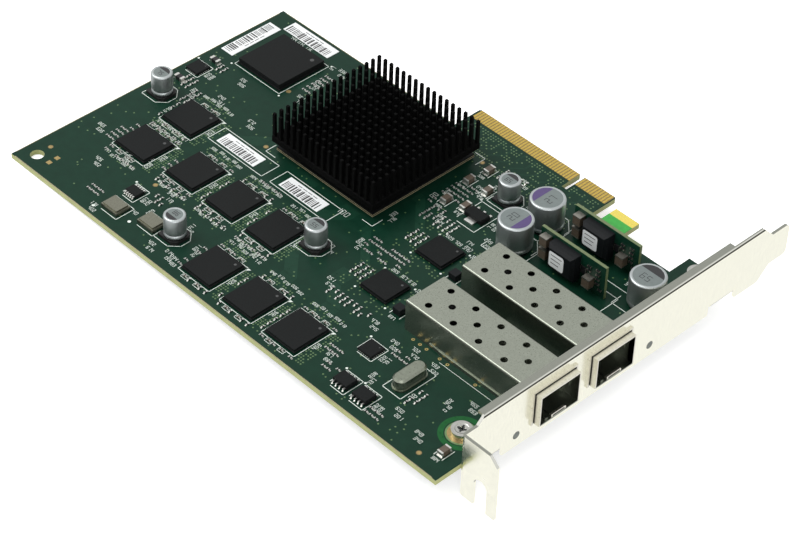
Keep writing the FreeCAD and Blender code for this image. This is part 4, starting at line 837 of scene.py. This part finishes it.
def make_retention_tab():
    """The skin of the retention tab: bright green next to the board, and bare laminate at its tip."""
    rim = [vertex.co / MM for vertex in frame["nodes"]["pcb"].data.vertices]
    contacts_end = box_of("edge_contacts")[1][0]
    tip = max(point.y for point in rim if contacts_end + 2 < point.x < contacts_end + 20)
    ends = [point.x for point in rim if abs(point.y - tip) < 0.3 and point.x > contacts_end + 2]
    low, high = min(ends) + 0.03, max(ends) - 0.03
    middle = (SHOULDER + tip) / 2 + 0.6
    skin = Piece("retention_tab_skin", "bright_laminate", "bare_laminate")
    for height, way in ((0.012, 1), (BOARD_LOW[2] - 0.012, -1)):
        for slot, (start, end) in enumerate(((SHOULDER - 1.6, middle), (middle, tip - 0.05))):
            corners = [(low, start, height), (high, start, height), (high, end, height), (low, end, height)]
            skin.face(corners[::way], slot)
    skin.done()


PIN_ROWS = 17
SINK_FLOOR = 2.0
PIN_ROOT = 0.92
PIN_TIP = 0.82


def make_pin_field():
    """The heat sink with the slim pins of the real one, on the base and pitch of the CAD node."""
    sink = Piece("heat_sink_pins", "sink_aluminium")
    (x, y, z), (u, v, w) = box_of("heat_sink")
    level = z + SINK_FLOOR
    sink.box((x, y, z), (u, v, level), 0, 0.2)
    inset = 0.1 + PIN_ROOT / 2
    step = (u - x - 2 * inset) / (PIN_ROWS - 1)
    for row in range(PIN_ROWS):
        for column in range(PIN_ROWS):
            cx, cy = x + inset + step * column, y + inset + step * row
            sink.loft([[(cx + half * a, cy + half * b, height) for a, b in SQUARE]
                       for half, height in ((PIN_ROOT / 2, level - 0.1), (PIN_TIP / 2, w))])
    sink.done("heat_sink")


def make_substrate_edge():
    """The layered brown rim of the controller's substrate, below its black lid."""
    rim = Piece("controller_rim", "substrate_edge")
    (x, y, z), (u, v, _) = box_of("controller")
    out, wall = 0.06, 0.35
    for low, high in ((z + 0.6, z + 0.76), (z + 1.14, z + 1.26)):
        rim.box((x - out, y - out, low), (u + out, y + wall, high))
        rim.box((x - out, v - wall, low), (u + out, v + out, high))
        rim.box((x - out, y + wall, low), (x + wall, v - wall, high))
        rim.box((u - wall, y + wall, low), (u + out, v - wall, high))
    rim.done()


def make_supply_edges():
    """The bare cut edges of the two upright boards."""
    edge = Piece("supply_board_edges", "green_edge")
    thin, inset = 0.03, 0.04
    for index in (1, 2):
        (x, y, z), (u, v, w) = box_of(f"supply_board_{index}")
        edge.box((x, y + inset, w), (u, v - inset, w + thin))
        edge.box((x - thin, y + inset, z + 0.1), (x, v - inset, w))
        edge.box((u, y + inset, z + 0.1), (u + thin, v - inset, w))
    edge.done()


LEADED = {"eeprom_chip_1": (4, 1.27), "eeprom_chip_2": (4, 1.27), "driver_chip": (5, 0.8)}
LEAD_SKIN = 0.22
PAD_ROWS = {"clock_chip": 7, "corner_chip": 6}
PAD_PITCH = 0.65
LEAD_BENDS = ((-0.01, 0.55, 0, 0.22), (0.28, 0.72, 0.2, 0.76), (0.3, 1.05, 0.53, 0.77))


def make_leads():
    """Tin on the bent leads of the small chips, and the solder along the sides of the leadless ones."""
    tin = Piece("lead_tin", "tinned_copper")
    for node, (count, pitch) in LEADED.items():
        (x, y, _), (u, v, _) = box_of(node)
        for index in range(count):
            middle = (x + u) / 2 + pitch * (index - (count - 1) / 2)
            left, right = middle - LEAD_SKIN, middle + LEAD_SKIN
            for end, way in ((y, 1), (v, -1)):
                for near, far, low, high in LEAD_BENDS:
                    start, stop = sorted((end + way * near, end + way * far))
                    tin.box((left, start, low), (right, stop, high))
    for node, count in PAD_ROWS.items():
        (x, y, _), (u, v, _) = box_of(node)
        for index in range(count):
            shift = PAD_PITCH * (index - (count - 1) / 2)
            middle, level = (x + u) / 2 + shift, (y + v) / 2 + shift
            for side in (y - 0.28, v - 0.02):
                tin.box((middle - 0.15, side, 0), (middle + 0.15, side + 0.3, 0.2), 0, 0.05)
            for side in (x - 0.28, u - 0.02):
                tin.box((side, level - 0.15, 0), (side + 0.3, level + 0.15, 0.2), 0, 0.05)
    tin.done()


REGULATOR_BODY = (6.4, 3.5, 1.65)
REGULATOR_MIDDLE = 4.5
TAB_SIZE = (3.1, 1.75, 0.5)
LEAD_SIZE = (0.75, 1.5, 0.4)
LEAD_PITCH = 2.3


def make_regulator():
    """The regulator with the slimmer body of the real one, its silver tab and its three leads."""
    part = Piece("regulator_detail", "package_black", "tinned_copper")
    (x, y, _), (u, _, _) = box_of("regulator")
    middle, level = (x + u) / 2, y + REGULATOR_MIDDLE
    wide, long, tall = REGULATOR_BODY
    front, back = level - long / 2, level + long / 2
    part.box((middle - wide / 2, front, 0.1), (middle + wide / 2, back, tall), 0, 0.2)
    wide, reach, thick = TAB_SIZE
    part.box((middle - wide / 2, front - reach, 0), (middle + wide / 2, front + 0.2, thick), 1, 0.06)
    wide, reach, thick = LEAD_SIZE
    for shift in (-LEAD_PITCH, 0, LEAD_PITCH):
        left, right = middle + shift - wide / 2, middle + shift + wide / 2
        part.box((left, back - 0.2, 0), (right, back + reach, thick), 1, 0.06)
    part.done("regulator")


RIM_LINE = 0.22
RIM_CORNER = 1.5


def make_board_rim():
    """The thin line of bare laminate that shows along the board's cut edges."""
    rim = Piece("board_rim", "rim_laminate")
    left, front = BOARD_LOW[0] + RIM_LINE / 2 + 0.02, BOARD_LOW[1] + RIM_LINE / 2 + 0.02
    back = SHOULDER - RIM_LINE / 2 - 0.02
    tab = box_of("edge_contacts")[0][0] - RIM_CORNER
    for height in (0.006, BOARD_LOW[2] - 0.006):
        rim.ribbon([(left, front + RIM_CORNER), (left, back - RIM_CORNER)], RIM_LINE, height)
        rim.ribbon([(left + RIM_CORNER, front), (BOARD_HIGH[0] - RIM_CORNER, front)], RIM_LINE, height)
        rim.ribbon([(left + RIM_CORNER, back), (tab, back)], RIM_LINE, height)
    rim.done()


def make_contact_ground():
    """Bare laminate between the gold contacts on both faces."""
    ground = Piece("contact_ground", "contact_ground")
    contacts = solids_of("edge_contacts")
    for upper in (True, False):
        row = sorted(one for one in contacts if (one[0][2] > -0.5) == upper)
        height = 0.008 if upper else BOARD_LOW[2] - 0.008
        for index, ((_, y, _), (u, v, _)) in enumerate(row):
            after = row[index + 1][0][0] if index + 1 < len(row) else math.inf
            reach = after if after - u < CONTACT_GAP else u + 0.3
            corners = [(u, y, height), (reach, y, height), (reach, v, height), (u, v, height)]
            ground.face(corners if upper else corners[::-1])
    ground.done()


def make_lug_ring():
    """Copper under the solder mask round the near bracket screw, brighter than the board by it."""
    rings = Piece("lug_ring", "mask_on_copper")
    cx, cy, _ = round_of(solids_of("bracket_screws")[0])
    for start in range(0, 360, 10):
        middle = math.radians(start + 5)
        if in_board(cx + 6.4 * math.cos(middle), cy + 6.4 * math.sin(middle)):
            rings.ring(cx, cy, 4.5, 6.0, 0.012, 0, 2, start, 10)
    rings.done()


def make_can_bungs():
    """The round rubber bungs that the large cans stand on."""
    bung = Piece("can_bungs", "base_plastic")
    for box in solids_of("large_capacitors"):
        cx, cy, radius = round_of(box)
        bung.lathe(cx, cy, [(radius - 0.5, 0), (radius - 0.45, box[0][2] + 0.05)])
    bung.done("large_capacitor_bases")


def make_screw_drives():
    """The cross recesses in the heads of the two bracket screws, drawn as a dark cross of painted shade, and
    the round of each head.
    """
    drive = Piece("screw_drives", "screw_steel", "hole_shade")
    for box in solids_of("bracket_screws"):
        cx, cy, radius = round_of(box)
        w = box[1][2]
        drive.lathe(cx, cy, [(radius, w - 0.45), (radius * 0.93, w - 0.12), (radius * 0.7, w + 0.02),
                             (radius * 0.6, w + 0.03), (radius * 0.6, w - 0.2)])
        for turn in (20, 110):
            dx, dy = math.cos(math.radians(turn)), math.sin(math.radians(turn))
            drive.ribbon([(cx - dx, cy - dy), (cx + dx, cy + dy)], 0.5, w + 0.05, 1)
    drive.done()


def make_chip_marks():
    """A moulded dimple at the first pin of each package."""
    mark = Piece("pin_marks", "dimple")
    for node in (*MEMORY, "bridge_chip", *LINE_CHIPS, "clock_chip", "corner_chip"):
        (x, _, _), (u, v, w) = box_of(node)
        inset = 0.14 * (u - x) + 0.3
        mark.disc(u - inset, v - inset, 0.035 * (u - x), w + 0.01, 0, 16)
    mark.done()


make_silkscreen()
make_fiducials()
make_vias()
make_traces()
make_chip_parts()
make_fine_chips()
make_cans()
make_label_print()
make_supply_marks()
make_ports()
make_cage_lips()
make_retention_tab()
make_pin_field()
make_substrate_edge()
make_supply_edges()
make_leads()
make_regulator()
make_board_rim()
make_contact_ground()
make_lug_ring()
make_can_bungs()
make_screw_drives()
make_chip_marks()


# ---------- stage, light

WORLD_LIGHT = 0.55
WHITE = 1.0
FLOOR_REACH = 6.0
FLOOR_GLOW = 0.55
FOCAL_LENGTH = 118.0
LENS_SHIFT = 0.0746
CAMERA_PLACE = (0.3587, -0.4303, 0.4568)
CAMERA_TURN = (48.47, -0.79, 47.31)


def show_to_camera(tree, lit, shown, output):
    """Give one shader to the camera, reflections and clear parts, and the lit one to other rays."""
    path = add_node(tree, "LightPath", {})
    seen = path.outputs["Is Camera Ray"]
    for kind in ("Is Glossy Ray", "Is Transmission Ray"):
        seen = add_node(tree, "Math", {0: seen, 1: path.outputs[kind]}, operation="MAXIMUM").outputs[0]
    mix = add_node(tree, "MixShader", {0: seen, 1: lit.outputs[0], 2: shown.outputs[0]})
    fill(tree, output, {"Surface": mix.outputs[0]})


def make_world():
    """Soft light from all round, which the camera sees as plain white."""
    world = bpy.data.worlds.new("Studio")
    world.use_nodes = True
    bpy.context.scene.world = world
    tree = world.node_tree
    soft, seen = tree.nodes["Background"], add_node(tree, "Background", {})
    for background, strength in ((soft, WORLD_LIGHT), (seen, WHITE)):
        fill(tree, background, {"Color": (1, 1, 1, 1), "Strength": strength})
    show_to_camera(tree, soft, seen, tree.nodes["World Output"])


def make_floor():
    """The surface that the card rests on: it touches the ear's feet and the board's free end."""
    board_low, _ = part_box("pcb")
    ear_low, ear_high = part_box("bracket")
    foot_x = (ear_low[0] + 3 * ear_high[0]) / 4
    slope = (ear_low[2] - board_low[2]) / (foot_x - board_low[0])
    mesh = bmesh.new()
    corners = []
    for x, y in SQUARE:
        x, y = x * FLOOR_REACH, y * FLOOR_REACH
        corners.append(mesh.verts.new((x, y, board_low[2] + slope * (x - board_low[0]))))
    mesh.faces.new(corners)
    data = bpy.data.meshes.new("floor")
    mesh.to_mesh(data)
    mesh.free()
    surface = look("paper_floor", (0.86, 0.86, 0.86), 0.9, variation=0.01, grain=4)
    tree = surface.node_tree
    lit = tree.nodes["Principled BSDF"]
    glow = add_node(tree, "Emission", {"Strength": FLOOR_GLOW})
    both = add_node(tree, "AddShader", {0: lit.outputs[0], 1: glow.outputs[0]})
    mirrored = add_node(tree, "Emission", {"Strength": WHITE})
    glossy = add_node(tree, "LightPath", {}).outputs["Is Glossy Ray"]
    seen = add_node(tree, "MixShader", {0: glossy, 1: both.outputs[0], 2: mirrored.outputs[0]})
    show_to_camera(tree, lit, seen, tree.nodes["Material Output"])
    data.materials.append(surface)
    add_object("floor", data)


def add_lamp(name, place, aim, size, power):
    """A square lamp that looks at a point, with its size in metres and its power in watts."""
    light = bpy.data.lights.new(name, "AREA")
    light.shape = "SQUARE"
    light.size = size
    light.energy = power
    lamp = add_object(name, light)
    lamp.location = place
    lamp.rotation_euler = (Vector(aim) - Vector(place)).to_track_quat("-Z", "Y").to_euler()


def make_camera():
    """The camera that was fitted to the photograph."""
    lens = bpy.data.cameras.new("camera")
    lens.lens = FOCAL_LENGTH
    lens.shift_x = LENS_SHIFT
    lens.clip_start = 0.01
    lens.clip_end = 50
    camera = add_object("camera", lens)
    camera.location = CAMERA_PLACE
    camera.rotation_euler = [math.radians(turn) for turn in CAMERA_TURN]
    bpy.context.scene.camera = camera


make_world()
make_floor()
add_lamp("key", (-0.5, -0.35, 0.9), (-0.03, -0.06, 0), 0.7, 9)
add_lamp("fill", (0.8, -0.7, 0.5), (0, -0.06, 0), 0.8, 4)
make_camera()

bpy.context.scene.view_settings.view_transform = "Standard"
